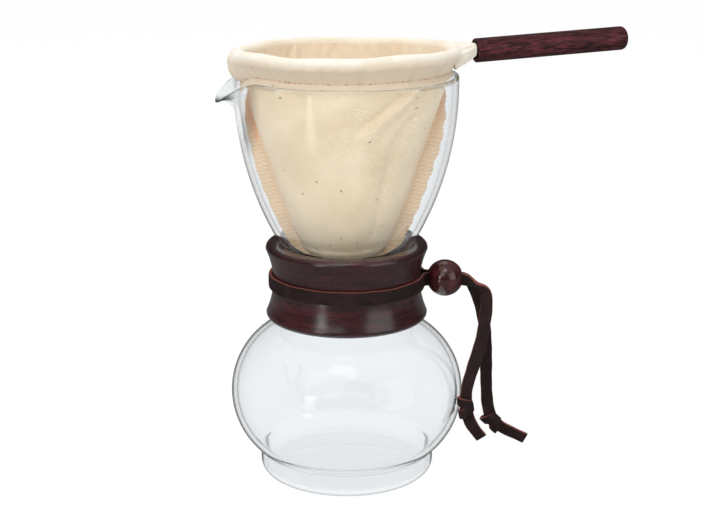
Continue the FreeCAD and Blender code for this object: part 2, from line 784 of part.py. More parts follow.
def filter_hem():
    """The hem rolled round the wire: a drop-shaped ring and the gathered neck at the handle."""
    cloth = new_body("hem_cloth")
    section = new_sketch(cloth, "hem_section", "XZ_Plane")
    foot_out = MOUTH_RADIUS - S.hem_seat
    shoulder = S.hem_tube * math.cos(math.radians(20))
    dip = S.hem_tube * math.sin(math.radians(20))
    outline(
        section,
        [
            (foot_out, HEM_BOTTOM),
            (RING_RADIUS + shoulder, RING_HEIGHT - dip, S.hem_tube, 1),
            (RING_RADIUS, RING_HEIGHT + S.hem_tube, S.hem_tube, 1),
            (RING_RADIUS - shoulder, RING_HEIGHT - dip),
            (foot_out - S.cloth * 2, HEM_BOTTOM),
        ],
    )
    revolve(cloth, "Revolution", section)
    root_half = S.ring_fold * 1.4
    ring_square = RING_RADIUS * RING_RADIUS
    root_x = root(ring_square - root_half * root_half) + S.wire_radius / 4
    tip_half = S.leg_spread + S.wire_radius + S.cloth * 1.4
    tip_rise = S.wire_radius + S.wire_gap + S.cloth * 1.4
    neck = []
    for name, x, half, low, high in (
        ("neck_root", root_x, root_half, S.rim_height + S.hem_seat * 2, RING_HEIGHT + S.hem_tube * 0.8),
        (
            "neck_tip",
            S.handle_start - S.wire_gap,
            tip_half,
            RING_HEIGHT - tip_rise,
            RING_HEIGHT + tip_rise,
        ),
    ):
        sketch = new_sketch(cloth, name, "YZ_Plane", x)
        outline(sketch, [(-half, low), (half, low), (half, high), (-half, high)])
        neck.append(sketch)
    loft(cloth, "AdditiveLoft", neck)
    channel = feature("wire_channel", wire_sweep(S.wire_radius.value + S.wire_gap.value))
    hem = doc.addObject("Part::Cut", "filter_hem")
    hem.Label = "filter_hem"
    hem.Base = cloth
    hem.Tool = channel
    return hem


def bag_stations():
    """(height, half width at the seams, half depth, room beside the glass) from hem to toe."""
    top = HEM_BOTTOM - S.bag_gap
    toe = S.neck_height + S.toe_clear
    depth = top - toe - S.toe_drop
    stations = []
    for share in BAG_STATIONS:
        height = top - depth * share
        opening = S.seam_room - S.seam_top_room
        room = S.seam_top_room + opening * min(1.0, (share / 0.59) ** 0.6)
        half_width = funnel_radius(height, S.glass_wall) - room
        half_depth = half_width - S.bag_pinch * share**1.5 - S.cloth * 0.2
        stations.append((height, half_width, half_depth, room))
    stations.append((toe, S.toe_half_width, S.toe_half_depth, S.seam_room))
    return stations


def filter_panel(label, side):
    """One of the bag's two cloth panels, front (side -1) or rear (side 1), each a bowed shell."""
    body = new_body(label)
    for kind, inset in (("AdditiveLoft", ZERO), ("SubtractiveLoft", S.cloth)):
        sketches = []
        stations = bag_stations()
        for index, (height, half_width, half_depth, _) in enumerate(stations):
            if inset is not ZERO and index == 0:
                height = height + S.cloth
            if inset is not ZERO and index == len(stations) - 1:
                height = height + S.cloth
            wide, deep = half_width - inset, half_depth - inset
            bow = (wide * wide + deep * deep) / (deep * 2)
            sketch = new_sketch(body, f"{label}_{kind}_{index}", "XY_Plane", height)
            outline(sketch, [(-wide, ZERO), (wide, ZERO, bow, side)])
            sketches.append(sketch)
        loft(body, kind, sketches)
    return body


def seam_flap(label, side):
    """The seam allowance that stands out along one half of the bag's edge, two cloths thick."""
    body = new_body(label)
    sketch = new_sketch(body, f"{label}_outline", "XZ_Plane")
    stations = bag_stations()
    inner, outer = [], []
    for height, half_width, _, room in stations[:-1]:
        inner.append(((half_width + S.bag_gap) * side, height))
        outer.append(((half_width + room - S.flap_gap) * side, height))
    toe_height, toe_half = stations[-1][0], stations[-1][1]
    flap = S.seam_room - S.flap_gap
    inner.append(((toe_half + S.bag_gap) * side, toe_height - S.bag_gap))
    inner.append((ZERO, toe_height - S.bag_gap))
    outer.append(((toe_half + flap * 0.6) * side, toe_height - flap * 0.7))
    outer.append((ZERO, toe_height - flap))
    outline(sketch, inner + outer[::-1])
    pad(body, sketch, S.cloth * 2)
    return body


pieces = [
    glass_level("glass_foot", ZERO, FOOT_TOP),
    glass_level("glass_bulb", FOOT_TOP, BULB_TOP),
    glass_level("glass_shoulder", BULB_TOP, SHOULDER_TOP),
    glass_level("glass_neck", SHOULDER_TOP, NECK_TOP),
    glass_funnel(),
    collar_half("collar_front", True),
    collar_half("collar_rear", False),
    lace_loop(),
    bead(),
    lace_strap("lace_tail_left", LEFT_TAIL),
    knot("lace_knot_left", LEFT_KNOT, LEFT_KNOT_LEAN),
    lace_strap("lace_end_left", LEFT_END),
    lace_strap("lace_tail_right", RIGHT_TAIL),
    knot("lace_knot_right", RIGHT_KNOT, RIGHT_KNOT_LEAN),
    lace_strap("lace_end_right", RIGHT_END),
    wire_ring(),
    handle(),
    filter_hem(),
    filter_panel("filter_front_panel", -1),
    filter_panel("filter_rear_panel", 1),
    seam_flap("seam_left", -1),
    seam_flap("seam_right", 1),
]
doc.recompute()

for item in doc.Objects:
    if {"Invalid", "Error"} & set(item.State):
        raise RuntimeError(f"{item.Label} failed: {item.State}")
for piece in pieces:
    if piece.Shape.isNull() or not piece.Shape.isValid() or not piece.Shape.Solids:
        raise RuntimeError(f"{piece.Label} has no valid solid")

os.makedirs("parts", exist_ok=True)
for piece in pieces:
    piece.Shape.exportStep(os.path.join("parts", f"{piece.Label}.step"))
    print(piece.Label, len(piece.Shape.Solids), round(piece.Shape.Volume, 1))
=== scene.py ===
"""Looks of a cloth-drip coffee pot: blown glass, dark turned wood, leather lace and cotton filter."""

import math

import bmesh
import bpy
import numpy as np
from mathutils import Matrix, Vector


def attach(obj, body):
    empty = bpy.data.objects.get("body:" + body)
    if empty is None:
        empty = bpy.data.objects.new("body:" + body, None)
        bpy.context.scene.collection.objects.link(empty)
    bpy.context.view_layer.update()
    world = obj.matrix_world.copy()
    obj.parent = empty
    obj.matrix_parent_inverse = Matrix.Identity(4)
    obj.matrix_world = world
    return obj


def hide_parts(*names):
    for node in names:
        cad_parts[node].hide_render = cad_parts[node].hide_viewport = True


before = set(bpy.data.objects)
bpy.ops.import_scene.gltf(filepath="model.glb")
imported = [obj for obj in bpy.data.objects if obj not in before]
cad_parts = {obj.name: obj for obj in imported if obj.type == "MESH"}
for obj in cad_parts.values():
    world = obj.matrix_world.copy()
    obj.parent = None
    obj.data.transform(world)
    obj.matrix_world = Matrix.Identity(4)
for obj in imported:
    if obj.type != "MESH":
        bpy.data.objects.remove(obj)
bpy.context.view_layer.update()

bl_info = {
    "name": "Cloth Drip Coffee Pot",
    "version": (1, 0, 0),
    "blender": (4, 5, 0),
    "location": "View3D > Sidebar > Coffee Pot",
    "description": "Builds the glass, wood, leather and cotton of a cloth drip coffee pot",
    "category": "Add Mesh",
}

MM = 0.001
TURN = 2.0 * math.pi
WHITE = (1.0, 1.0, 1.0)
COLLAR_TURN = math.radians(-17.0)
BAG_TURN = math.radians(-17.0)
WINDOW_SIDE = -37.0  # degrees from the camera's side to the tall window

GLASS_IOR, VARNISH_IOR = 1.47, 1.75
TWILL_PITCH, TWILL_SLANT = 1.3 * MM, 0.7
THREAD_PITCH = 0.8 * MM
OVERLOCK_PITCH = 2.0 * MM
HEM_SIDE_POINTS = 24

# The lace's free tails in the collar's frame, in metres: x out through the bead, front at -y
LEFT_TAIL = (
    (0.0544, -0.0011, 0.0946),
    (0.0602, -0.0015, 0.0924),
    (0.0660, -0.0028, 0.0886),
    (0.0656, -0.0055, 0.0788),
    (0.0634, -0.0090, 0.0672),
    (0.0596, -0.0135, 0.0560),
    (0.0566, -0.0170, 0.0480),
    (0.0558, -0.0180, 0.0424),
)
LEFT_KNOT = (0.0558, -0.0182, 0.0370)
LEFT_END = ((0.0571, -0.0182, 0.0314), (0.0596, -0.0179, 0.0262), (0.0636, -0.0174, 0.0212))
RIGHT_TAIL = (
    (0.0544, 0.0011, 0.0946),
    (0.0576, 0.0012, 0.0930),
    (0.0602, 0.0015, 0.0892),
    (0.0624, 0.0019, 0.0840),
    (0.0648, 0.0023, 0.0758),
    (0.0666, 0.0025, 0.0640),
    (0.0668, 0.0025, 0.0510),
    (0.0672, 0.0024, 0.0390),
    (0.0682, 0.0023, 0.0276),
)
RIGHT_KNOT = (0.0706, 0.0023, 0.0218)
RIGHT_END = ((0.0748, 0.0022, 0.0186), (0.0802, 0.0020, 0.0160), (0.0866, 0.0018, 0.0130))


# Settings


def size(name, text, default):
    """A length in metres."""
    return bpy.props.FloatProperty(
        name=name, description=text, default=default, unit="LENGTH", precision=4
    )


def colour(name, text, default):
    """A colour as three shares of light."""
    return bpy.props.FloatVectorProperty(
        name=name, description=text, default=default, subtype="COLOR", size=3, min=0.0, max=1.0
    )


def angle(name, text, degrees):
    """An angle, kept in radians."""
    return bpy.props.FloatProperty(
        name=name, description=text, default=math.radians(degrees), subtype="ANGLE"
    )


class GlassSettings(bpy.types.PropertyGroup):
    """Sizes of the blown pot's half section and its pouring lip."""

    foot_radius: size("Foot Radius", "Radius of the foot's upright wall", 0.0414)
    foot_edge: size("Foot Edge", "Rounding under the foot", 0.0055)
    foot_fillet: size("Foot Fillet", "Rounding between foot and bulb", 0.0025)
    bulb_radius: size("Bulb Radius", "Largest radius of the bulb", 0.055)
    bulb_height: size("Bulb Height", "Height of the bulb's largest radius", 0.0402)
    neck_radius: size("Neck Radius", "Smallest radius of the neck", 0.0235)
    neck_height: size("Neck Height", "Height of the neck's smallest radius", 0.0931)
    neck_bow: size("Neck Bow", "Radius of the hollow neck arc", 0.024)
    funnel_radius: size("Funnel Radius", "Largest radius of the funnel", 0.0511)
    funnel_height: size("Funnel Height", "Height of the funnel's largest radius", 0.186)
    rim_height: size("Rim Height", "Height of the rim", 0.191)
    wall: size("Wall", "Thickness of the glass", 0.0022)
    lip_reach: size("Lip Reach", "How far the pouring lip stands out of the funnel", 0.0104)
    lip_drop: size("Lip Drop", "How far the pouring lip dips below the rim", 0.0078)
    lip_start: size("Lip Start", "Height where the pouring lip begins", 0.158)
    tint: colour("Tint", "Colour of light straight through the wall", (0.94, 0.957, 0.97))
    # Painted shade: the glass's colour on edge, darkened to stand in for its refracted outline.
    outline_shade: colour("Edge Tint", "Colour of light along the wall", (0.004, 0.008, 0.008))


class WoodSettings(bpy.types.PropertyGroup):
    """Sizes and colours of the collar, the bead and the handle."""

    collar_bottom: size("Collar Bottom", "Height of the collar's lower end", 0.0765)
    collar_top: size("Collar Top", "Height of the collar's upper end", 0.1126)
    collar_flare: size("Collar Flare", "Radius of the collar's ends", 0.0379)
    collar_waist: size("Collar Waist", "Radius of the collar's hollow side", 0.0346)
    collar_round: size("Collar Rounding", "Rounding of the collar's ends", 0.0026)
    collar_gap: size("Collar Gap", "Room between the collar and the glass", 0.0003)
    bead_radius: size("Bead Radius", "Radius of the bead", 0.0086)
    bead_bore: size("Bead Bore", "Radius of the bead's hole", 0.0038)
    bead_reach: size("Bead Reach", "Distance of the bead from the pot's axis", 0.0462)
    handle_radius: size("Handle Radius", "Radius of the grip", 0.0056)
    dark: colour("Dark Grain", "Colour of the wood's pores", (0.006, 0.0022, 0.0026))
    collar_tone: colour("Collar", "Varnished colour of the collar", (0.028, 0.0055, 0.0069))
    bead_tone: colour("Bead", "Varnished colour of the bead", (0.040, 0.0062, 0.0064))
    handle_tone: colour("Handle", "Varnished colour of the grip", (0.052, 0.0105, 0.0135))


class LaceSettings(bpy.types.PropertyGroup):
    """Sizes and colours of the leather lace."""

    width: size("Loop Width", "Width of the lace round the collar", 0.0064)
    tail_width: size("Tail Width", "Width of the lace's free tails", 0.0057)
    thickness: size("Thickness", "Thickness of the lace", 0.0019)
    height: size("Height", "Height of the lace on the collar", 0.0948)
    face: colour("Face", "Colour of the leather's face", (0.0125, 0.0054, 0.0050))
    edge: colour("Cut Edge", "Colour of the cut edges", (0.15, 0.048, 0.034))


class ClothSettings(bpy.types.PropertyGroup):
    """Sizes and colours of the cotton filter."""

    ring_radius: size("Ring Radius", "Radius of the wire in the hem", 0.0492)
    ring_height: size("Ring Height", "Height of the wire in the hem", 0.1996)
    hem_tube: size("Hem Roll", "Radius of the rolled hem", 0.0031)
    hem_bottom: size("Hem Bottom", "Height of the hem's lower edge", 0.1906)
    bag_depth: size("Bag Depth", "Height of the bag's straight part", 0.078)
    toe: size("Toe", "Height of the bag's rounded toe", 0.007)
    thickness: size("Thickness", "Thickness of one cloth", 0.0009)
    flannel: colour("Flannel", "Colour of the bag", (0.775, 0.635, 0.450))
    hem: colour("Hem", "Colour of the washed hem", (0.616, 0.585, 0.515))
    thread: colour("Overlock Thread", "Colour of the seam's thread", (0.66, 0.385, 0.21))
    # Painted shade: darker and warmer than the hem, for the roll's shadow and bounced light.
    band: colour("Hem Band", "Colour of the hem's band above the stitches", (0.52, 0.425, 0.312))
    fleck: colour("Fleck", "Colour of husk flecks in the cotton", (0.26, 0.12, 0.05))


class StageSettings(bpy.types.PropertyGroup):
    """The camera and the light."""

    azimuth: angle("Azimuth", "Camera's side", -17.0)
    elevation: angle("Elevation", "Camera's height angle", 15.69)
    distance: size("Distance", "From the camera to what it looks at", 0.704)
    look_height: size("Look Height", "Height that the camera looks at", 0.1014)
    look_aside: size("Look Aside", "How far right of the pot's axis the camera looks", 0.0025)
    lens: bpy.props.FloatProperty(
        name="Lens", description="Focal length in millimetres", default=76.7, min=1.0
    )
    ambient: bpy.props.FloatProperty(
        name="Ambient", description="Strength of the room's soft light", default=0.83, min=0.0
    )


# Shares and waves


def even_step(values, low, high):
    """0 at low, 1 at high, even between them and level beyond."""
    return np.clip((values - low) / (high - low), 0.0, 1.0)


def soft_step(values, low, high):
    """The even step r with a soft start and end: 3 r^2 - 2 r^3."""
    share = even_step(values, low, high)
    return share * share * (3.0 - 2.0 * share)


def bell(values, breadth, power=2.0):
    """1 at 0 and falling off to both sides: e to the minus (|values| / breadth)^power."""
    return np.exp(-((np.abs(values) / breadth) ** power))


def signed_power(values, power):
    """|values|^power with the sign of the values."""
    return np.sign(values) * np.abs(values) ** power


def ripple(values, *waves):
    """Sum of sines: each wave is (height, cycles over a unit of values, phase)."""
    total = np.zeros_like(values)
    for height, cycles, phase in waves:
        total = total + height * np.sin(TURN * cycles * values + phase)
    return total


# Points


def grid(*coordinates):
    """Points whose coordinates are arrays or numbers, each stretched over the others."""
    return np.stack(np.broadcast_arrays(*coordinates), axis=-1)


def full_turn(count):
    """Even angles round a full turn."""
    return np.linspace(0.0, TURN, count, endpoint=False)


def unit(vectors):
    """Vectors of length 1 along the given ones: each over its own length."""
    return vectors / np.linalg.norm(vectors, axis=-1, keepdims=True)


def lengths_along(path, closed=False):
    """Length from the start to each point of a path, with the way back to the start if closed."""
    steps = np.diff(np.vstack([path, path[:1]]) if closed else path, axis=0)
    return np.concatenate([[0.0], np.cumsum(np.linalg.norm(steps, axis=1))])


def arc(centre, radius, first, last, count):
    """Points of a circle's arc from one angle to another."""
    a = np.linspace(first, last, count)
    return grid(centre[0] + radius * np.cos(a), centre[1] + radius * np.sin(a))


def spin(profile, angles):
    """Points of a half section (radius, height) turned about the pot's axis to each angle."""
    radius, height = profile[:, :1], profile[:, 1:]
    return grid(radius * np.cos(angles), radius * np.sin(angles), height)


def turned(points):
    """Points of the collar's frame turned about the pot's axis to where the bead points."""
    c, s = math.cos(COLLAR_TURN), math.sin(COLLAR_TURN)
    return np.asarray(points) @ np.array([[c, s, 0.0], [-s, c, 0.0], [0.0, 0.0, 1.0]])


def capped(points):
    """A tube's grid with its ends shut by a last row drawn in to the middle of each end."""
    middles = points[[0, -1]].mean(axis=1, keepdims=True)
    ends = np.broadcast_to(middles, (2, *points.shape[1:]))
    return np.concatenate([ends[:1], points, ends[1:]])


def strap_loop(count=28, squareness=5.0):
    """A flat strap's section as a superellipse of half sizes 1: |x|^n + |y|^n = 1."""
    a = full_turn(count)
    power = 2.0 / squareness
    return grid(signed_power(np.cos(a), power), signed_power(np.sin(a), power))


def sweep(path, across, thin, half_width, half_thickness, closed=False):
    """A strap: its section carried along a path, wide along across and thin along thin."""
    loop = strap_loop()
    half_width, half_thickness = (
        np.broadcast_to(half, len(path))[:, None, None] for half in (half_width, half_thickness)
    )
    points = (
        path[:, None]
        + across[:, None] * loop[:, :1] * half_width
        + thin[:, None] * loop[:, 1:] * half_thickness
    )
    return points if closed else capped(points)


def spline_points(points, resolution=12):
    """Points on the smooth line that has the route's points as its control points."""
    curve = bpy.data.curves.new("route", "CURVE")
    curve.dimensions = "3D"
    spline = curve.splines.new("NURBS")
    spline.points.add(len(points) - 1)
    for control, place in zip(spline.points, points):
        control.co = (*place, 1.0)
    spline.order_u = 3
    spline.use_endpoint_u = True
    spline.resolution_u = resolution
    holder = bpy.data.objects.new("route", curve)
    mesh = bpy.data.meshes.new_from_object(holder)
    found = np.empty(len(mesh.vertices) * 3, dtype=np.float32)
    mesh.vertices.foreach_get("co", found)
    bpy.data.meshes.remove(mesh)
    bpy.data.objects.remove(holder)
    bpy.data.curves.remove(curve)
    return found.reshape(-1, 3).astype(float)


# Meshes


def new_piece(name, mesh, body, material, slot, *nodes):
    """Links a mesh, gives it its finish, lets it ride on a body and replace CAD nodes."""
    made = bpy.data.objects.new(name, mesh)
    bpy.context.scene.collection.objects.link(made)
    mesh.materials.append(material)
    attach(made, body)
    if nodes:
        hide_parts(*nodes)
    return made


def grid_faces(rows, cols, wrap_rows=False, wrap_cols=False):
    """Quads between neighbours of a grid, and each corner's own row and column, unwrapped."""
    i, j = np.meshgrid(
        np.arange(rows if wrap_rows else rows - 1),
        np.arange(cols if wrap_cols else cols - 1),
        indexing="ij",
    )
    corner_rows = np.stack([i, i + 1, i + 1, i], axis=-1).reshape(-1, 4)
    corner_cols = np.stack([j, j, j + 1, j + 1], axis=-1).reshape(-1, 4)
    return (corner_rows % rows) * cols + corner_cols % cols, corner_rows, corner_cols


def faced_mesh(name, points, faces, uv=None):
    """A mesh of points and faces, with a UV map for the faces' corners."""
    mesh = bpy.data.meshes.new(name)
    mesh.from_pydata(points.reshape(-1, 3).tolist(), [], faces)
    if uv is not None:
        layer = mesh.uv_layers.new(name="surface")
        layer.data.foreach_set("uv", uv.astype(np.float32).ravel())
    return mesh


def grid_mesh(name, *grids, wrap_cols=True, u=None, v=None):
    """One smooth mesh of grids, each a pair of its points and whether its rows run round. The UV
    map is u over the rows and v over the columns, or else their shares. Poles and seams merge."""
    points, faces, uvs, start = [], [], [], 0
    for one, wrap_rows in grids:
        rows, cols = one.shape[:2]
        quads, corner_rows, corner_cols = grid_faces(rows, cols, wrap_rows, wrap_cols)
        points.append(one.reshape(-1, 3))
        faces.append(quads + start)
        over_rows = corner_rows / rows if u is None else u[corner_rows]
        over_cols = corner_cols / cols if v is None else v[corner_cols]
        uvs.append(grid(over_rows, over_cols))
        start += rows * cols
    faces = np.vstack(faces).tolist()
    return finish_mesh(faced_mesh(name, np.vstack(points), faces, np.concatenate(uvs)))


def finish_mesh(mesh):
    """Merges doubles, turns faces outwards and shades smooth."""
    work = bmesh.new()
    work.from_mesh(mesh)
    bmesh.ops.remove_doubles(work, verts=work.verts, dist=1e-7)
    bmesh.ops.dissolve_degenerate(work, edges=work.edges, dist=1e-8)
    bmesh.ops.recalc_face_normals(work, faces=work.faces)
    work.to_mesh(mesh)
    work.free()
    mesh.polygons.foreach_set("use_smooth", np.ones(len(mesh.polygons), dtype=bool))
    return mesh


# Nodes


class Field:
    """A node's output. Arithmetic of fields and numbers adds Math nodes to the same tree."""

    def __init__(self, socket):
        self.socket = socket
        self.tree = socket.id_data

    def __add__(self, other):
        return combine("ADD", self, other)

    def __sub__(self, other):
        return combine("SUBTRACT", self, other)

    def __rsub__(self, other):
        return combine("SUBTRACT", other, self)

    def __mul__(self, other):
        return combine("MULTIPLY", self, other)


def fill(node, inputs):
    """Sets a node's inputs, named or numbered: fields are linked and colours made opaque."""
    for name, value in inputs.items():
        socket = node.inputs[name]
        if isinstance(value, Field):
            value.tree.links.new(value.socket, socket)
        else:
            socket.default_value = (*value, 1.0) if socket.type == "RGBA" else value


def add(tree, kind, inputs=None, output=0, **settings):
    """One output of a new node with these settings and inputs."""
    node = tree.nodes.new(f"ShaderNode{kind}")
    for name, value in settings.items():
        setattr(node, name, value)
    fill(node, inputs or {})
    return Field(node.outputs[output])


def combine(operation, first, second=0.0):
    """A Math node of two values, at least one of them a field."""
    tree = (first if isinstance(first, Field) else second).tree
    return add(tree, "Math", {0: first, 1: second}, operation=operation)


def larger(first, *others):
    """The largest of several fields."""
    for other in others:
        first = combine("MAXIMUM", first, other)
    return first


def size_of(value):
    """A field without its sign."""
    return combine("ABSOLUTE", value)


def mix(factor, first, second):
    """Mixes two colours."""
    inputs = {0: factor, 6: first, 7: second}
    return add(factor.tree, "Mix", inputs, 2, data_type="RGBA")


def mix_value(factor, first, second):
    """Mixes two numbers."""
    return add(factor.tree, "Mix", {0: factor, 2: first, 3: second}, data_type="FLOAT")


def ramp(value, low, high):
    """0 below low and 1 above high, with a soft step between."""
    inputs = {"Value": value, "From Min": low, "From Max": high}
    return add(value.tree, "MapRange", inputs, interpolation_type="SMOOTHSTEP")


def coordinates(tree, source):
    """Texture coordinates of one kind."""
    return add(tree, "TexCoord", output=source)


def axes(vector):
    """The three axes of coordinates, each a field."""
    node = add(vector.tree, "SeparateXYZ", {0: vector}).socket.node
    return [Field(output) for output in node.outputs]


def dot(vector, way):
    """How far coordinates lie along a direction."""
    return add(vector.tree, "VectorMath", {0: vector, 1: way}, "Value", operation="DOT_PRODUCT")


def rays(tree, *kinds):
    """What Light Path tells about the ray, each a field."""
    node = tree.nodes.new("ShaderNodeLightPath")
    return [Field(node.outputs[kind]) for kind in kinds]


def noise(vector, scale, detail=4.0, roughness=0.55):
    """Cloudy noise between 0 and 1."""
    inputs = {"Vector": vector, "Scale": scale, "Detail": detail, "Roughness": roughness}
    return add(vector.tree, "TexNoise", inputs, "Fac")


def bump(shader, height, strength, distance):
    """Gives a shader the relief of a height field."""
    inputs = {"Height": height, "Strength": strength, "Distance": distance}
    fill(shader, {"Normal": add(height.tree, "Bump", inputs)})


def lay_over(tree, share, other):
    """Lets another shader cover a share of the material's own."""
    own = Field(tree.nodes["Principled BSDF"].outputs[0])
    both = add(tree, "MixShader", {0: share, 1: own, 2: other})
    fill(tree.nodes["Material Output"], {"Surface": both})


# Materials


def new_material(name):
    """A material, its node tree and its main shader."""
    material = bpy.data.materials.new(name)
    material.use_nodes = True
    tree = material.node_tree
    return material, tree, tree.nodes["Principled BSDF"]


def toned(tone, factors):
    """A colour times one factor or three, 1 at most."""
    return tuple(np.minimum(np.multiply(tuple(tone), factors), 1.0).tolist())


def wood(name, tone, dark, grain, coat, haze, depth=0.6):
    """Dark varnished wood: long pores, darker by depth, and slow bands in the colour, under a
    clear coat whose roughness is haze. Grain is the pores' scale on each axis."""
    material, tree, shader = new_material(name)
    along = add(tree, "Mapping", {"Vector": coordinates(tree, "Object"), "Scale": grain})
    pores = ramp(noise(along, 1.0, detail=8.0, roughness=0.7), 0.42, 0.58)
    bands = ramp(noise(along, 0.22, detail=3.0), 0.35, 0.7)
    figure = mix(bands, tone, toned(tone, 1.7))
    finish = {
        "Base Color": mix(pores * depth + (1.0 - depth), dark, figure),
        "Roughness": pores * -0.12 + 0.6,
        "Specular IOR Level": 0.12,
        "Coat Weight": coat,
        "Coat Roughness": haze,
        "Coat IOR": VARNISH_IOR,
    }
    fill(shader, finish)
    bump(shader, pores, strength=0.18, distance=0.2 * MM)
    return material


def leather(settings):
    """Dark leather: fine grain, worn patches, and red-brown where the section turns its edge."""
    material, tree, shader = new_material("lace_leather")
    place = coordinates(tree, "Object")
    around = axes(coordinates(tree, "UV"))[1]
    wear = ramp(noise(place, 160.0, detail=5.0, roughness=0.65), 0.42, 0.74)
    edge = ramp(combine("COSINE", around * (2.0 * TURN)), 0.40, 0.85)
    face = mix(wear, settings.face, toned(settings.face, 1.8))
    finish = {
        "Base Color": mix(edge, face, settings.edge),
        "Roughness": 0.66,
        "Specular IOR Level": 0.25,
    }
    fill(shader, finish)
    cells = add(tree, "TexVoronoi", {"Vector": place, "Scale": 1500.0}, "Distance")
    bump(shader, cells + noise(place, 700.0), strength=0.35, distance=0.2 * MM)
    return material


def cotton(name, tone, settings, fleck_share, nap, rib, band=None, seam_to_seam=None):
    """Twilled cotton: slanted ribs and cross threads on the UV map, soft nap, cloudy tone and
    brown husk flecks. On the hem, the first of the UV map runs from a band over the roll to the
    inside, and the band's and the inside's colours fade into the tone. The band's colour is painted
    shade, darker and warmer for the roll's shadow and bounced light. On the bag, it runs from
    seam to seam, and the tone warms towards both."""
    material, tree, shader = new_material(name)
    flat = coordinates(tree, "UV")
    across, along, _ = axes(flat)
    ribs = combine("SINE", (along - across * TWILL_SLANT) * (TURN / TWILL_PITCH))
    threads = combine("SINE", across * (TURN / THREAD_PITCH))
    weave = (ribs * 0.5 + 0.5) * rib
    deep = toned(tone, (0.92, 0.87, 0.80))
    body = mix(ramp(noise(flat, 38.0), 0.3, 0.7), deep, toned(tone, 1.06))
    if band:
        # Painted shade: the band under the roll takes the darker, warmer band colour.
        body = mix(ramp(across, 8.5 * MM, 13.0 * MM), band, body)
        body = mix(ramp(across, 17.5 * MM, 20.5 * MM) * 0.5, body, settings.flannel)
    if seam_to_seam:
        edge = combine("MINIMUM", across, seam_to_seam - across)
        warm = (1.0 - ramp(edge, 0.0, 22.0 * MM)) * 0.42
        body = mix(warm, body, settings.thread)
    body = mix(weave * 0.6, body, deep)
    cells = add(
        tree, "TexVoronoi", {"Vector": flat, "Scale": 95.0}, "Distance", voronoi_dimensions="2D"
    )
    lot = add(tree, "SeparateColor", {0: Field(cells.socket.node.outputs["Color"])})
    fleck = (1.0 - ramp(cells, 0.03, 0.08)) * combine("LESS_THAN", lot, fleck_share)
    finish = {
        "Base Color": mix(fleck * 0.75, body, settings.fleck),
        "Roughness": 0.92,
        "Specular IOR Level": 0.15,
        "Sheen Weight": nap,
        "Sheen Roughness": 0.5,
    }
    fill(shader, finish)
    fuzz = noise(flat, 900.0, detail=5.0, roughness=0.7)
    relief = weave + threads * (0.25 * rib) + fuzz * 1.2
    bump(shader, relief, strength=0.55, distance=0.4 * MM)
    return material


def overlocked(settings):
    """Seam allowance: cotton under two staggered rows of overlock bars between two rails of loops.
    At the top, more on the left, the fold is painted orange, partly for its thread and partly as
    warm shade, with a darker line of painted shadow. The UV map runs along the seam in metres and
    from its root, 0, to its free edge, 1."""
    material, tree, shader = new_material("overlocked_seam")
    along, over, _ = axes(coordinates(tree, "UV"))
    place = coordinates(tree, "Object")
    fuzz = noise(place, 700.0, detail=5.0, roughness=0.7)
    loose = noise(place, 260.0, detail=2.0)
    slant, stitched, fold_shadow_at = 1.2 * MM, 0.58, 0.45
    phase = (over * slant + along) * (TURN / OVERLOCK_PITCH) + loose * 3.0
    wave = combine("SINE", phase + ramp(over, 0.52, 0.60) * math.pi)
    off = size_of(over - stitched)
    inside = 1.0 - ramp(off, 0.36, 0.46)
    bars = ramp(wave, 0.0, 0.6) * inside
    rails = ramp(off, 0.24, 0.32) * inside
    left = combine("LESS_THAN", axes(place)[0], 0.0)
    # Painted warm shade with the thread's orange in the fold at the top, stronger on the left.
    top = (1.0 - ramp(along, 16.0 * MM, 40.0 * MM)) * mix_value(left, 0.35, 1.0)
    cover = larger(larger(bars, rails * 0.3) * 0.62, top * inside)
    body = mix(fuzz, settings.flannel, toned(settings.flannel, (0.88, 0.84, 0.80)))
    thread = mix(cover, body, settings.thread)
    # Painted shadow: a darker orange line inside the fold at the top.
    fold_shadow = (1.0 - ramp(size_of(over - fold_shadow_at), 0.05, 0.4)) * top
    finish = {
        "Base Color": mix(fold_shadow, thread, toned(settings.thread, (1.08, 0.90, 0.66))),
        "Roughness": 0.9,
        "Specular IOR Level": 0.15,
    }
    fill(shader, finish)
    bump(shader, bars + fuzz, strength=0.4, distance=0.3 * MM)
    return material


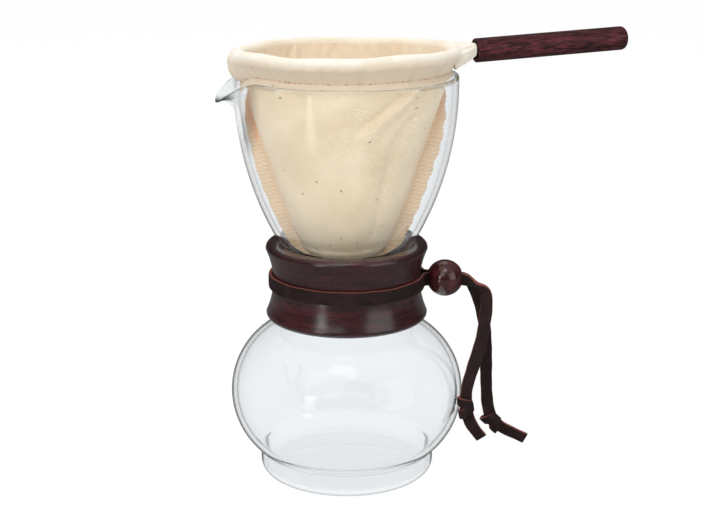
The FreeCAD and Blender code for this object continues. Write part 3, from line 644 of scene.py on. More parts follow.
def clear_glass(settings):
    """Clear glass, cool face on and with a painted dark line on edge, darker below, that stands
    in for the outline which refraction and reflection give the wall. It lets lamps and soft light
    pass. Light that has been turned many times inside the wall goes straight on, and so does most
    of the light at the rim and the thin drawn lip, whose round edge and turned wall keep a painted
    dark outline."""
    material, tree, shader = new_material("clear_glass")
    facing = add(tree, "LayerWeight", output="Facing")
    x, _, height = axes(coordinates(tree, "Object"))
    # Painted shade: the dark line on edge, and a softer darkening towards it.
    line = ramp(facing, 0.76, 0.86) * (ramp(height, 115.0 * MM, 160.0 * MM) * -0.6 + 0.95)
    soft = combine("POWER", facing, 4.0) * 0.22
    finish = {
        "Base Color": mix(larger(line, soft), settings.tint, settings.outline_shade),
        "Roughness": 0.0,
        "IOR": GLASS_IOR,
        "Transmission Weight": 1.0,
    }
    fill(shader, finish)
    shadow, diffuse, depth = rays(tree, "Is Shadow Ray", "Is Diffuse Ray", "Ray Depth")
    passing = larger(shadow, diffuse, combine("GREATER_THAN", depth, 4.5))
    out = x * -1.0
    lip = ramp(out, 45.5 * MM, 50.5 * MM) * 0.88 * ramp(height, 150.0 * MM, 172.0 * MM)
    rim = ramp(height, settings.rim_height - 2.5 * MM, settings.rim_height - 1.0 * MM) * 0.4
    from_rim = size_of(axes(coordinates(tree, "UV"))[0] - 0.5)
    # Painted dark outline on the rim's round edge and the lip's wall, where light passes straight.
    round_edge = (1.0 - ramp(from_rim, 0.0186, 0.0215)) * ramp(facing, 0.30, 0.64)
    outline = larger(round_edge, ramp(facing, 0.84, 0.95) * 0.5)
    outline = outline * ramp(out, 50.0 * MM, 53.0 * MM) * (1.0 - passing)
    clear = mix(outline, (0.95, 0.965, 0.97), (0.24, 0.27, 0.25))
    lay_over(tree, larger(passing, lip, rim), add(tree, "BsdfTransparent", {"Color": clear}))
    return material


def steel():
    """Drawn steel wire with faint streaks."""
    material, tree, shader = new_material("drawn_steel")
    streaks = noise(coordinates(tree, "Object"), 900.0)
    tone = mix(streaks, (0.52, 0.52, 0.53), (0.66, 0.66, 0.67))
    fill(shader, {"Base Color": tone, "Metallic": 1.0, "Roughness": 0.34})
    return material


def sewing_thread(settings):
    """Thread, dark where bare, that fades into the hem band's painted shade where it sinks in."""
    material, tree, shader = new_material("cotton_thread")
    fibre = ramp(noise(coordinates(tree, "Object"), 420.0, detail=3.0), 0.40, 0.62)
    dark = toned(settings.thread, (0.62, 0.50, 0.52))
    # The band colour here is the painted shade under the hem's roll.
    fill(shader, {"Base Color": mix(fibre, dark, settings.band), "Roughness": 0.8})
    return material


# Operators


def sight(turn, up):
    """The direction at an angle about the pot's axis from the front, and an angle above level."""
    return (math.sin(turn) * math.cos(up), -math.cos(turn) * math.cos(up), math.sin(up))


class POT_OT_stage(bpy.types.Operator):
    """Makes the camera, the soft light and the pale floor"""

    bl_idname = "coffee_pot.stage"
    bl_label = "Stage"

    def execute(self, context):
        scene, settings = context.scene, context.scene.pot_stage
        scene.view_settings.view_transform = "Standard"
        side = settings.azimuth
        right = Vector((math.cos(side), math.sin(side), 0.0))
        front, up = Vector(sight(side, 0.0)), Vector((0.0, 0.0, 1.0))
        back = Vector(sight(side, settings.elevation))
        lens = bpy.data.cameras.new("camera")
        lens.lens, lens.sensor_width, lens.clip_start = settings.lens, 36.0, 0.01
        target = right * settings.look_aside + up * settings.look_height
        scene.camera = self.place("camera", lens, target + back * settings.distance, -back)
        aim, lamp_size = up * 0.1, 0.9
        for name, aside, height, away, power in (
            ("key", -0.45, 0.95, 0.95, 11.8),
            ("fill", 0.95, 0.50, 0.80, 4.0),
            ("rear", -0.15, 1.25, -0.6, 5.0),
        ):
            lamp = bpy.data.lights.new(name, "AREA")
            lamp.shape, lamp.size, lamp.energy = "SQUARE", lamp_size, power
            spot = right * aside + front * away + up * height
            holder = self.place(name, lamp, spot, aim - spot)
            holder.visible_glossy = holder.visible_transmission = False
        self.light_world(scene, settings)
        self.lay_floor(settings)
        return {"FINISHED"}

    def place(self, name, data, spot, way):
        """A camera or lamp at a spot, looking along a way."""
        holder = bpy.data.objects.new(name, data)
        holder.location = spot
        holder.rotation_mode = "QUATERNION"
        holder.rotation_quaternion = way.to_track_quat("-Z", "Y")
        bpy.context.scene.collection.objects.link(holder)
        return holder

    def light_world(self, scene, settings):
        """White to the camera and through glass, softer as light on the object. In gloss, a sky
        that brightens upwards with four round soft windows, each by its angle from a direction."""
        scene.world = bpy.data.worlds.new("studio")
        scene.world.use_nodes = True
        tree = scene.world.node_tree
        tree.nodes.clear()
        camera, through, glossy, passed = rays(
            tree, "Is Camera Ray", "Is Transmission Ray", "Is Glossy Ray", "Transparent Depth"
        )
        seen = larger(camera, through, combine("GREATER_THAN", passed, 0.5) * glossy)
        way = coordinates(tree, "Generated")
        height = axes(way)[2]
        soft = (ramp(height, 0.0, 0.9) * 0.90 + 0.55) * settings.ambient
        gloss = ramp(height, 0.3, 0.9) * 0.3 + 0.03
        for aside, up, core, edge, power in (
            (WINDOW_SIDE, 8.0, 1.0, 9.0, 2.5),
            (WINDOW_SIDE, 20.0, 2.0, 9.0, 4.0),
            (36.0, 19.0, 2.0, 8.0, 4.0),
            (-7.0, 62.0, 5.0, 16.0, 2.2),
        ):
            aside, up, core, edge = np.radians([aside, up, core, edge]).tolist()
            near = dot(way, sight(settings.azimuth + aside, up))
            gloss = gloss + ramp(near, math.cos(edge), math.cos(core)) * power
        ceiling = ramp(height, 0.1, 0.5) * 0.35 * through
        strength = mix_value(seen, mix_value(glossy, soft, gloss), 1.0 - ceiling)
        studio = add(tree, "Background", {"Color": WHITE, "Strength": strength})
        fill(tree.nodes.new("ShaderNodeOutputWorld"), {"Surface": studio})

    def lay_floor(self, settings):
        """A wide pale sheet at the foot's height that keeps a faint shadow. In gloss it is dim,
        with a soft streak of window light that runs out from the pot's left front."""
        reach, below = 3.0, 0.2 * MM
        steps = np.linspace(-reach, reach, 9)
        points = grid(steps[:, None], steps, -below)
        mesh = grid_mesh("floor", (points, False), wrap_cols=False)
        material, tree, shader = new_material("pale_floor")
        fill(shader, {"Base Color": (0.72, 0.72, 0.72), "Roughness": 0.9})
        camera, through, glossy, mirrored = rays(
            tree, "Is Camera Ray", "Is Transmission Ray", "Is Glossy Ray", "Is Reflection Ray"
        )
        place = coordinates(tree, "Object")
        turn = settings.azimuth + math.radians(WINDOW_SIDE)
        along = dot(place, sight(turn, 0.0))
        aside = dot(place, (math.cos(turn), math.sin(turn), 0.0))
        streak_side, streak_half = 15.5 * MM, 85.0 * MM
        streak = 1.0 - ramp(size_of(aside - streak_side), 0.0, streak_half)
        streak = streak * ramp(along, 300.0 * MM, 500.0 * MM) * 3.0 + 0.10
        level = mix_value(glossy * mirrored, 1.02, streak)
        glow = add(tree, "Emission", {"Color": WHITE, "Strength": level})
        lay_over(tree, larger(camera, through, glossy) * 0.9, glow)
        floor = bpy.data.objects.new("floor", mesh)
        mesh.materials.append(material)
        bpy.context.scene.collection.objects.link(floor)


class POT_OT_lace(bpy.types.Operator):
    """Makes the leather lace: its loop on the collar, two free tails, their knots and cut ends"""

    bl_idname = "coffee_pot.lace"
    bl_label = "Leather Lace"

    def execute(self, context):
        self.settings = context.scene.pot_lace
        self.leather = leather(self.settings)
        self.loop(context.scene.pot_wood)
        bead_middle, rise = 50.0 * MM, 0.2 * MM
        for side, route, knot_place, stub, lean, twist in (
            ("left", LEFT_TAIL, LEFT_KNOT, LEFT_END, 10.0, 0.95),
            ("right", RIGHT_TAIL, RIGHT_KNOT, RIGHT_END, 46.0, 0.7),
        ):
            inside_bead = (bead_middle, route[0][1], route[0][2] + rise)
            path = spline_points((inside_bead, *route, knot_place))
            tail = self.strap(f"lace_tail_{side}", path, curl=0.0, twist=twist)
            knot = self.knot(f"lace_knot_{side}", np.array(knot_place), lean)
            short = spline_points((knot_place, *stub))
            end = self.strap(f"lace_end_{side}", short, curl=0.35, twist=0.0)
        return {"FINISHED"}

    def loop(self, wood_settings):
        """The lace round the collar: a ring whose ends fold out and run side by side through
        the bead. The ring, two straight runs, two folds and two strands are tangent."""
        half, gap = self.settings.thickness / 2, 0.25 * MM
        ring = wood_settings.collar_waist + gap + half
        spread, fold, run = half + gap / 2, 2.4 * MM, 3.0 * MM
        begin = math.sqrt((ring + fold) ** 2 + run**2 - (spread + fold) ** 2)
        lean = math.atan2(spread + fold, begin) + math.atan2(run, ring + fold)
        strand_end = 51.8 * MM
        strand = grid(np.linspace(strand_end, begin, 10), spread)
        bend = arc((begin, spread + fold), fold, -math.pi / 2, -math.pi + lean, 10)
        around = arc((0.0, 0.0), ring, lean, TURN - lean, 180)
        upper = np.vstack([strand, bend[1:]])
        flat = np.vstack([upper, around, upper[::-1] * [1.0, -1.0]])
        steps = lengths_along(flat)
        sway = ripple(steps, (0.25 * MM, 7.0, 0.4), (0.12 * MM, 19.0, 1.3))
        path = grid(*flat.T, self.settings.height + sway)
        across = np.broadcast_to([0.0, 0.0, 1.0], path.shape)
        thin = unit(np.cross(across, np.gradient(path, axis=0)))
        uneven = ripple(steps, (0.12 * MM, 23.0, 0.0), (0.08 * MM, 61.0, 2.0))
        points = turned(sweep(path, across, thin, self.settings.width / 2 + uneven, half))
        mesh = grid_mesh("lace_loop", (points, False))
        new_piece("lace_loop_leather", mesh, "pot", self.leather, "lace", "lace_loop")

    def strap(self, name, path, curl, twist):
        """A free stretch of lace along a line: thin from front to back, a little uneven in width,
        turned by curl radians over its length and by twist radians where it bends over."""
        along = unit(np.gradient(path, axis=0))
        across = unit(np.cross([0.0, 1.0, 0.0], along))
        thin = np.cross(along, across)
        share = np.linspace(0.0, 1.0, len(path))[:, None]
        waver, bend_at, bend_breadth = 0.10 * np.sin(5.0 * share), 0.20, 0.08
        turn = curl * share + waver + twist * bell(share - bend_at, bend_breadth)
        across, thin = (
            across * np.cos(turn) + thin * np.sin(turn),
            thin * np.cos(turn) - across * np.sin(turn),
        )
        uneven = 1.0 + ripple(lengths_along(path), (0.03, 43.0, 0.3), (0.02, 117.0, 1.0))
        wide, thick = self.settings.tail_width / 2 * uneven, self.settings.thickness / 2
        mesh = grid_mesh(name, (turned(sweep(path, across, thin, wide, thick)), False))
        return new_piece(f"{name}_leather", mesh, "lace_bead", self.leather, "lace", name)

    def knot(self, name, centre, lean):
        """An overhand knot drawn tight: two wraps of lace tilted against each other over a core."""
        lean = math.radians(lean)
        down = np.array([math.sin(lean), 0.0, -math.cos(lean)])
        side = np.array([math.cos(lean), 0.0, math.sin(lean)])
        front = np.array([0.0, 1.0, 0.0])
        a = full_turn(48)[:, None]
        half_thick, core_long, core_wide, core_deep = 0.85 * MM, 4.9 * MM, 2.6 * MM, 1.9 * MM
        parts = []
        for shift, tilt, wide, deep, half_band in (
            (-2.1 * MM, 0.45, 2.9 * MM, 1.75 * MM, 2.0 * MM),
            (1.9 * MM, -0.50, 3.05 * MM, 1.85 * MM, 2.1 * MM),
        ):
            path = centre + down * shift + side * wide * np.cos(a) + front * deep * np.sin(a)
            path = path + down * tilt * wide * np.cos(a)
            outward = unit(side * np.cos(a) / wide + front * np.sin(a) / deep)
            along = unit(np.roll(path, -1, axis=0) - np.roll(path, 1, axis=0))
            across = unit(np.cross(along, outward))
            thin = np.cross(across, along)
            band = sweep(path, across, thin, half_band, half_thick, closed=True)
            parts.append((turned(band), True))
        theta = np.linspace(0.0, math.pi, 24)[:, None, None]
        around = full_turn(32)[:, None]
        core = centre + (
            down * core_long * np.cos(theta)
            + side * core_wide * np.sin(theta) * np.cos(around)
            + front * core_deep * np.sin(theta) * np.sin(around)
        )
        mesh = grid_mesh(name, *parts, (turned(core), False))
        return new_piece(f"{name}_leather", mesh, "lace_bead", self.leather, "lace", name)


class POT_OT_bead(bpy.types.Operator):
    """Makes the turned bead on the lace"""

    bl_idname = "coffee_pot.bead"
    bl_label = "Bead"

    def execute(self, context):
        """A ball's arc from one mouth of the hole to the other, with a rounded lip, closed through
        the hole and spun about the hole's axis."""
        s, lace = context.scene.pot_wood, context.scene.pot_lace
        ball, bore = s.bead_radius, s.bead_bore
        flare, lip = 0.2 * MM, 0.8 * MM
        mouth = math.asin((bore + flare) / ball)
        inner = math.sqrt(ball**2 - bore**2) - lip
        skin = arc((0.0, 0.0), ball, math.pi - mouth, mouth, 60)
        half = np.vstack([skin, grid(np.linspace(inner, -inner, 14), bore)])
        along, out, a = half[:, :1], half[:, 1:], full_turn(72)
        points = grid(s.bead_reach + along, out * np.cos(a), lace.height + out * np.sin(a))
        grain = (420.0, 420.0, 90.0)
        finish = wood("bead_wood", s.bead_tone, s.dark, grain, coat=0.9, haze=0.06)
        mesh = grid_mesh("bead", (turned(points), True))
        new_piece("bead_wood", mesh, "lace_bead", finish, "bead_wood", "bead")
        return {"FINISHED"}


def bow_to_neck(g, radius, height):
    """Bow of an arc that is widest at a radius and height and runs smoothly into the neck's arc."""
    aside = radius - g.neck_radius - g.neck_bow
    away = height - g.neck_height
    return (aside**2 + away**2 - g.neck_bow**2) / (2 * (aside + g.neck_bow))


def glass_arcs(g, out):
    """Half section of the pot from the foot's middle to the rim, moved outwards by out: straight
    foot, foot edge, upright wall, fillet, bulb, neck and funnel arcs, tangent to each other."""
    neck = (g.neck_radius + g.neck_bow, g.neck_height)
    bulb_bow = bow_to_neck(g, g.bulb_radius, g.bulb_height)
    funnel_bow = bow_to_neck(g, g.funnel_radius, g.funnel_height)
    bulb = (g.bulb_radius - bulb_bow, g.bulb_height)
    funnel = (g.funnel_radius - funnel_bow, g.funnel_height)
    fillet_x = g.foot_radius + g.foot_fillet
    below = math.sqrt((bulb_bow + g.foot_fillet) ** 2 - (fillet_x - bulb[0]) ** 2)
    fillet = (fillet_x, bulb[1] - below)
    edge = (g.foot_radius - g.foot_edge, g.foot_edge)

    def towards(centre, other):
        return math.atan2(other[1] - centre[1], other[0] - centre[0])

    neck_start = TURN + towards(neck, bulb)
    top = math.asin((g.rim_height - g.wall / 2 - funnel[1]) / (funnel_bow + out))
    return np.vstack(
        [
            grid(np.linspace(0.0, edge[0], 8), -out)[:-1],
            arc(edge, g.foot_edge + out, -math.pi / 2, 0.0, 8),
            arc(fillet, g.foot_fillet - out, math.pi, towards(fillet, bulb), 8),
            arc(bulb, bulb_bow + out, towards(bulb, fillet), towards(bulb, neck), 44)[1:],
            arc(neck, g.neck_bow - out, neck_start, towards(neck, funnel), 22)[1:],
            arc(funnel, funnel_bow + out, towards(funnel, neck), top, 70)[1:],
        ]
    )


class POT_OT_glass(bpy.types.Operator):
    """Makes the blown glass pot with its pouring lip"""

    bl_idname = "coffee_pot.glass"
    bl_label = "Glass Pot"

    def execute(self, context):
        """Outer section, round rim and inner section in one line, spun about the axis. Near the
        lip the wall leans out with the sixth power of height, the rim dips and its tip hooks
        down, each by a bell over the angle from the lip."""
        g = context.scene.pot_glass
        outer, inner = glass_arcs(g, 0.0), glass_arcs(g, -g.wall)
        middle = (outer[-1] + inner[-1]) / 2
        rim = arc(middle, np.linalg.norm(outer[-1] - inner[-1]) / 2, 0.0, math.pi, 12)
        profile = np.vstack([outer, rim[1:-1], inner[::-1]])
        lip_half, beak_half, dip_half, hook_half = np.radians([34.0, 11.8, 13.0, 8.0])
        fine = np.linspace(math.pi - lip_half, math.pi + lip_half, 110)
        coarse = np.linspace(math.pi + lip_half, 3.0 * math.pi - lip_half, 130)[1:-1]
        angles = np.concatenate([fine, coarse])
        aside = np.mod(angles, TURN) - math.pi
        radius, height = profile[:, :1], profile[:, 1:]
        climb = even_step(height, g.lip_start, g.rim_height)
        window = np.clip(1.0 - (aside / lip_half) ** 2, 0.0, 1.0) ** 2
        beak = g.lip_reach * bell(aside, beak_half, 2.4) * climb**6
        dip = g.lip_drop * bell(aside, dip_half) * window * climb**2.2
        hook = 2.4 * MM * bell(aside, hook_half) * climb**24
        radius, height = radius + beak, height - dip - hook
        points = grid(radius * np.cos(angles), radius * np.sin(angles), height)
        nodes = ("glass_foot", "glass_bulb", "glass_shoulder", "glass_neck", "glass_funnel")
        mesh = grid_mesh("glass_pot", (points, False))
        new_piece("glass_pot_blown", mesh, "pot", clear_glass(g), "glass", *nodes)
        return {"FINISHED"}


class POT_OT_collar(bpy.types.Operator):
    """Makes the two halves of the turned collar"""

    bl_idname = "coffee_pot.collar"
    bl_label = "Collar"

    def execute(self, context):
        """A closed section spun through half a turn for each half and shut with flat ends."""
        s = context.scene.pot_wood
        grain = (60.0, 60.0, 420.0)
        finish = wood("collar_wood", s.collar_tone, s.dark, grain, coat=0.9, haze=0.22)
        section = self.section(s, context.scene.pot_glass)
        for name, first in (("collar_front", math.pi), ("collar_rear", 0.0)):
            points = spin(section, np.linspace(first, first + math.pi, 97) + COLLAR_TURN)
            rows, cols = points.shape[:2]
            faces = grid_faces(rows, cols, wrap_rows=True)[0].tolist()
            ends = [(np.arange(rows) * cols + end).tolist() for end in (0, cols - 1)]
            mesh = finish_mesh(faced_mesh(name, points, faces + ends))
            mesh.polygons.foreach_set("use_smooth", [True] * len(faces) + [False] * len(ends))
            new_piece(f"{name}_wood", mesh, "pot", finish, "collar_wood", name)
        return {"FINISHED"}

    def section(self, s, g):
        """Rounded ends, a side hollowed by an arc and a bore that follows the neck's arcs."""
        middle = (s.collar_bottom + s.collar_top) / 2
        sag = s.collar_flare - s.collar_waist
        reach = (s.collar_top - s.collar_bottom) / 2 - s.collar_round
        hollow = (reach**2 + sag**2) / (2 * sag)
        centre = (s.collar_waist + hollow, middle)
        swing = math.asin(reach / hollow)
        low = (s.collar_flare - s.collar_round, s.collar_bottom + s.collar_round)
        high = (s.collar_flare - s.collar_round, s.collar_top - s.collar_round)
        neck = glass_arcs(g, s.collar_gap)
        held = neck[(neck[:, 1] > s.collar_bottom) & (neck[:, 1] < s.collar_top)]
        held = held[held[:, 0] < s.collar_flare][::-1]
        bevel = 0.6 * MM
        heights = np.linspace(s.collar_top - bevel, s.collar_bottom + bevel, 40)
        bore = grid(np.interp(-heights, -held[:, 1], held[:, 0]), heights)
        return np.vstack(
            [
                arc(low, s.collar_round, -math.pi / 2, 0.0, 10),
                arc(centre, hollow, math.pi + swing, math.pi - swing, 40)[1:-1],
                arc(high, s.collar_round, 0.0, math.pi / 2, 10),
                [bore[0] + [bevel, bevel]],
                bore,
                [bore[-1] + [bevel, -bevel]],
            ]
        )


class POT_OT_handle(bpy.types.Operator):
    """Makes the turned grip and finishes the wire that carries it"""

    bl_idname = "coffee_pot.handle"
    bl_label = "Handle"

    def execute(self, context):
        """The grip's section, with eased ends, a chamfered mouth and a scored ring, spun about the
        legs' line, which climbs a little away from the pot."""
        s, c = context.scene.pot_wood, context.scene.pot_cloth
        radius, climb = s.handle_radius, math.radians(2.35)
        pivot = np.array([60.4 * MM, 0.0, c.ring_height - 0.6 * MM])
        near, far, ease, lip = 1.8 * MM, 79.3 * MM, 2.6 * MM, 0.6 * MM
        setback, crown, crown_share = 0.9 * MM, 0.8 * MM, 0.62
        mouth = np.array([[47.0, 0.0], [47.0, 3.3], [1.6, 3.3], [0.2, 4.4], [0.0, 4.7]])
        score = np.array([[2.2, 0.0], [2.4, -0.28], [2.8, -0.28], [3.0, 0.0]])
        dome = np.linspace(1.0, 0.0, 8)
        half = np.vstack(
            [
                mouth * MM + [near, 0.0],
                arc((near + lip, radius - lip), lip, math.pi, math.pi / 2, 6),
                score * MM + [near, radius],
                grid(np.linspace(near + 4.0 * MM, far - 5.0 * MM, 60), radius),
                arc((far - ease - setback, radius - ease), ease, math.pi / 2, 0.25, 12),
                grid(far - crown * dome**2, crown_share * dome * radius),
            ]
        )
        along = np.array([math.cos(climb), 0.0, math.sin(climb)])
        up = np.array([-math.sin(climb), 0.0, math.cos(climb)])
        side = np.array([0.0, 1.0, 0.0])
        a = full_turn(64)[:, None]
        points = pivot + along * half[:, :1, None]
        points = points + half[:, 1:, None] * (side * np.cos(a) + up * np.sin(a))
        grain = (150.0, 1100.0, 1100.0)
        finish = wood(
            "handle_wood", s.handle_tone, s.dark, grain, coat=0.12, haze=0.30, depth=0.85
        )
        mesh = grid_mesh("handle", (points, False))
        new_piece("handle_wood", mesh, "grip", finish, "handle_wood", "handle")
        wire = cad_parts["wire_ring"]
        wire.data.materials.clear()
        wire.data.materials.append(steel())
        return {"FINISHED"}


def depth_shares(straight, toe):
    """Shares of the bag's depth: even from the hem, 0, to the toe, 1, and closer to its end, 2."""
    return np.concatenate(
        [np.linspace(0.0, 1.0, straight), 1.0 + np.linspace(0.0, 1.0, toe)[1:] ** 0.7]
    )


def seam_room(share):
    """Room between the bag's edge and the glass, which its seams take up, at a share of its depth:
    it opens over the upper half and closes a little with the fourth power of the share."""
    share = np.clip(share, 0.0, 1.0)
    at_hem, opening, closing = 2.1 * MM, 8.4 * MM, 2.2 * MM
    return at_hem + opening * np.minimum(1.0, (share / 0.5) ** 0.75) - closing * share**4


def twisted(x, y, share):
    """The bag's places turned about the pot's axis and moved to its left, both growing with the
    share of the depth over the upper third."""
    part = soft_step(share, 0.0, 0.35)
    turn, aside = BAG_TURN * part, 1.2 * MM * part
    x = x - aside
    return x * np.cos(turn) - y * np.sin(turn), x * np.sin(turn) + y * np.cos(turn)


def bag_shape(c, g, share):
    """Height, half width at the seams and half depth of the bag at a share of its depth, the toe
    being the shares above 1: the funnel's inside less a room for the seams, then a round toe."""
    straight, gap, flattening = np.clip(share, 0.0, 1.0), 0.2 * MM, 2.5 * MM
    height = c.hem_bottom - gap - c.bag_depth * straight
    bow = bow_to_neck(g, g.funnel_radius, g.funnel_height)
    inside = np.sqrt((bow - g.wall) ** 2 - (height - g.funnel_height) ** 2)
    half_width = g.funnel_radius - bow + inside - seam_room(straight)
    half_depth = half_width - flattening * straight**1.5 - gap
    sink = even_step(share, 1.0, 2.0)
    close = np.sqrt(1.0 - sink**2)
    return height - c.toe * sink, half_width * close, half_depth * close


def cloth_swell(s, t, side):
    """How far a panel stands out, in metres, at a share s of its depth and from seam to seam at t
    of -1 to 1: slow waves, puckers under the hem and slanting creases, each a soft ridge or groove
    along a line, all dying out at the seams and the toe."""
    slow = -0.5 * MM + ripple(t, (0.30 * MM, 1.3, 0.6 + side), (0.16 * MM, 3.1, 1.9 * side))
    puckers = ripple(t, (0.14 * MM, 17.0, 0.3), (0.10 * MM, 29.0, side))
    total = slow * np.clip(s * 3.0, 0.15, 1.0) + puckers * np.exp(-s / 0.06)
    for t0, s0, t1, s1, breadth, height in (
        (0.19, 0.01, 0.05, 0.22, 0.035, -1.3),
        (0.27, 0.01, 0.14, 0.26, 0.040, 1.0),
        (0.36, 0.01, 0.25, 0.28, 0.040, -1.3),
        (0.50, 0.01, 0.44, 0.50, 0.050, 0.8),
        (0.44, 0.20, 0.38, 0.95, 0.065, -1.7),
        (-0.46, 0.03, -0.36, 0.30, 0.050, -0.9),
        (-0.20, 0.10, -0.30, 0.60, 0.080, 0.5),
        (0.08, 0.45, 0.02, 0.90, 0.090, 0.5),
    ):
        run = even_step(s, s0, s1)
        off = t + (t0 + (t1 - t0) * run) * side
        fade = bell(np.maximum(s - s1, 0.0), 0.10) * bell(np.maximum(s0 - s, 0.0), 0.05)
        total = total + height * MM * fade * bell(off, breadth) * (1.0 - 0.5 * run)
    return total * (1.0 - np.abs(t) ** 6) * np.clip(1.6 - s, 0.0, 1.0)


class POT_OT_panels(bpy.types.Operator):
    """Makes the bag's front and rear cotton panels"""

    bl_idname = "coffee_pot.panels"
    bl_label = "Filter Panels"

    def execute(self, context):
        c, g = context.scene.pot_cloth, context.scene.pot_glass
        finish = None
        for name, side in (("filter_front_panel", -1.0), ("filter_rear_panel", 1.0)):
            points = self.cloth(c, g, side)
            rows, cols = points.shape[:2]
            down = lengths_along(points[:, cols // 2])
            across = lengths_along(points[rows // 3])
            finish = finish or cotton(
                "filter_flannel",
                c.flannel,
                c,
                fleck_share=0.30,
                nap=0.25,
                rib=0.65,
                seam_to_seam=float(across[-1]),
            )
            mesh = self.sheet_mesh(name, points, down, across)
            made = new_piece(f"{name}_cotton", mesh, "filter", finish, "cotton", name)
            shell = made.modifiers.new("cloth", "SOLIDIFY")
            shell.thickness, shell.offset = c.thickness, -1.0
        return {"FINISHED"}

    def cloth(self, c, g, side):
        """Bowed rows, each an arc from seam to seam, stacked from hem to toe, with creases that
        run down from the hem and slow swells."""
        share = depth_shares(straight=90, toe=26)[:, None]
        t = np.linspace(-1.0, 1.0, 121)
        height, wide, deep = bag_shape(c, g, share)
        wide, deep = np.maximum(wide, 0.02 * MM), np.maximum(deep, 0.015 * MM)
        bow = (wide**2 + deep**2) / (2 * deep)
        turn = np.arcsin(np.clip(wide / bow, 0.0, 1.0)) * t
        x = bow * np.sin(turn)
        y = side * (bow * np.cos(turn) - (bow - deep))
        swell = cloth_swell(share, t, side)
        scale = 1.0 + swell / np.maximum(np.hypot(x, y), 8.0 * MM)
        x, y = twisted(x * scale, y * scale, share)
        return grid(x, y, height)

    def sheet_mesh(self, name, points, down, across):
        """An open sheet that faces away from the pot's axis, its UV map in metres, across and
        down."""
        rows, cols = points.shape[:2]
        faces, corner_rows, corner_cols = grid_faces(rows, cols)
        uv = grid(across[corner_cols], down[corner_rows])
        mesh = faced_mesh(name, points, faces.tolist(), uv)
        mesh.polygons.foreach_set("use_smooth", np.ones(len(faces), dtype=bool))
        outward = Vector(points[rows // 3, cols // 2] * [1.0, 1.0, 0.0])
        if mesh.polygons[(rows // 3) * (cols - 1) + cols // 2].normal.dot(outward) < 0:
            mesh.flip_normals()
        return mesh


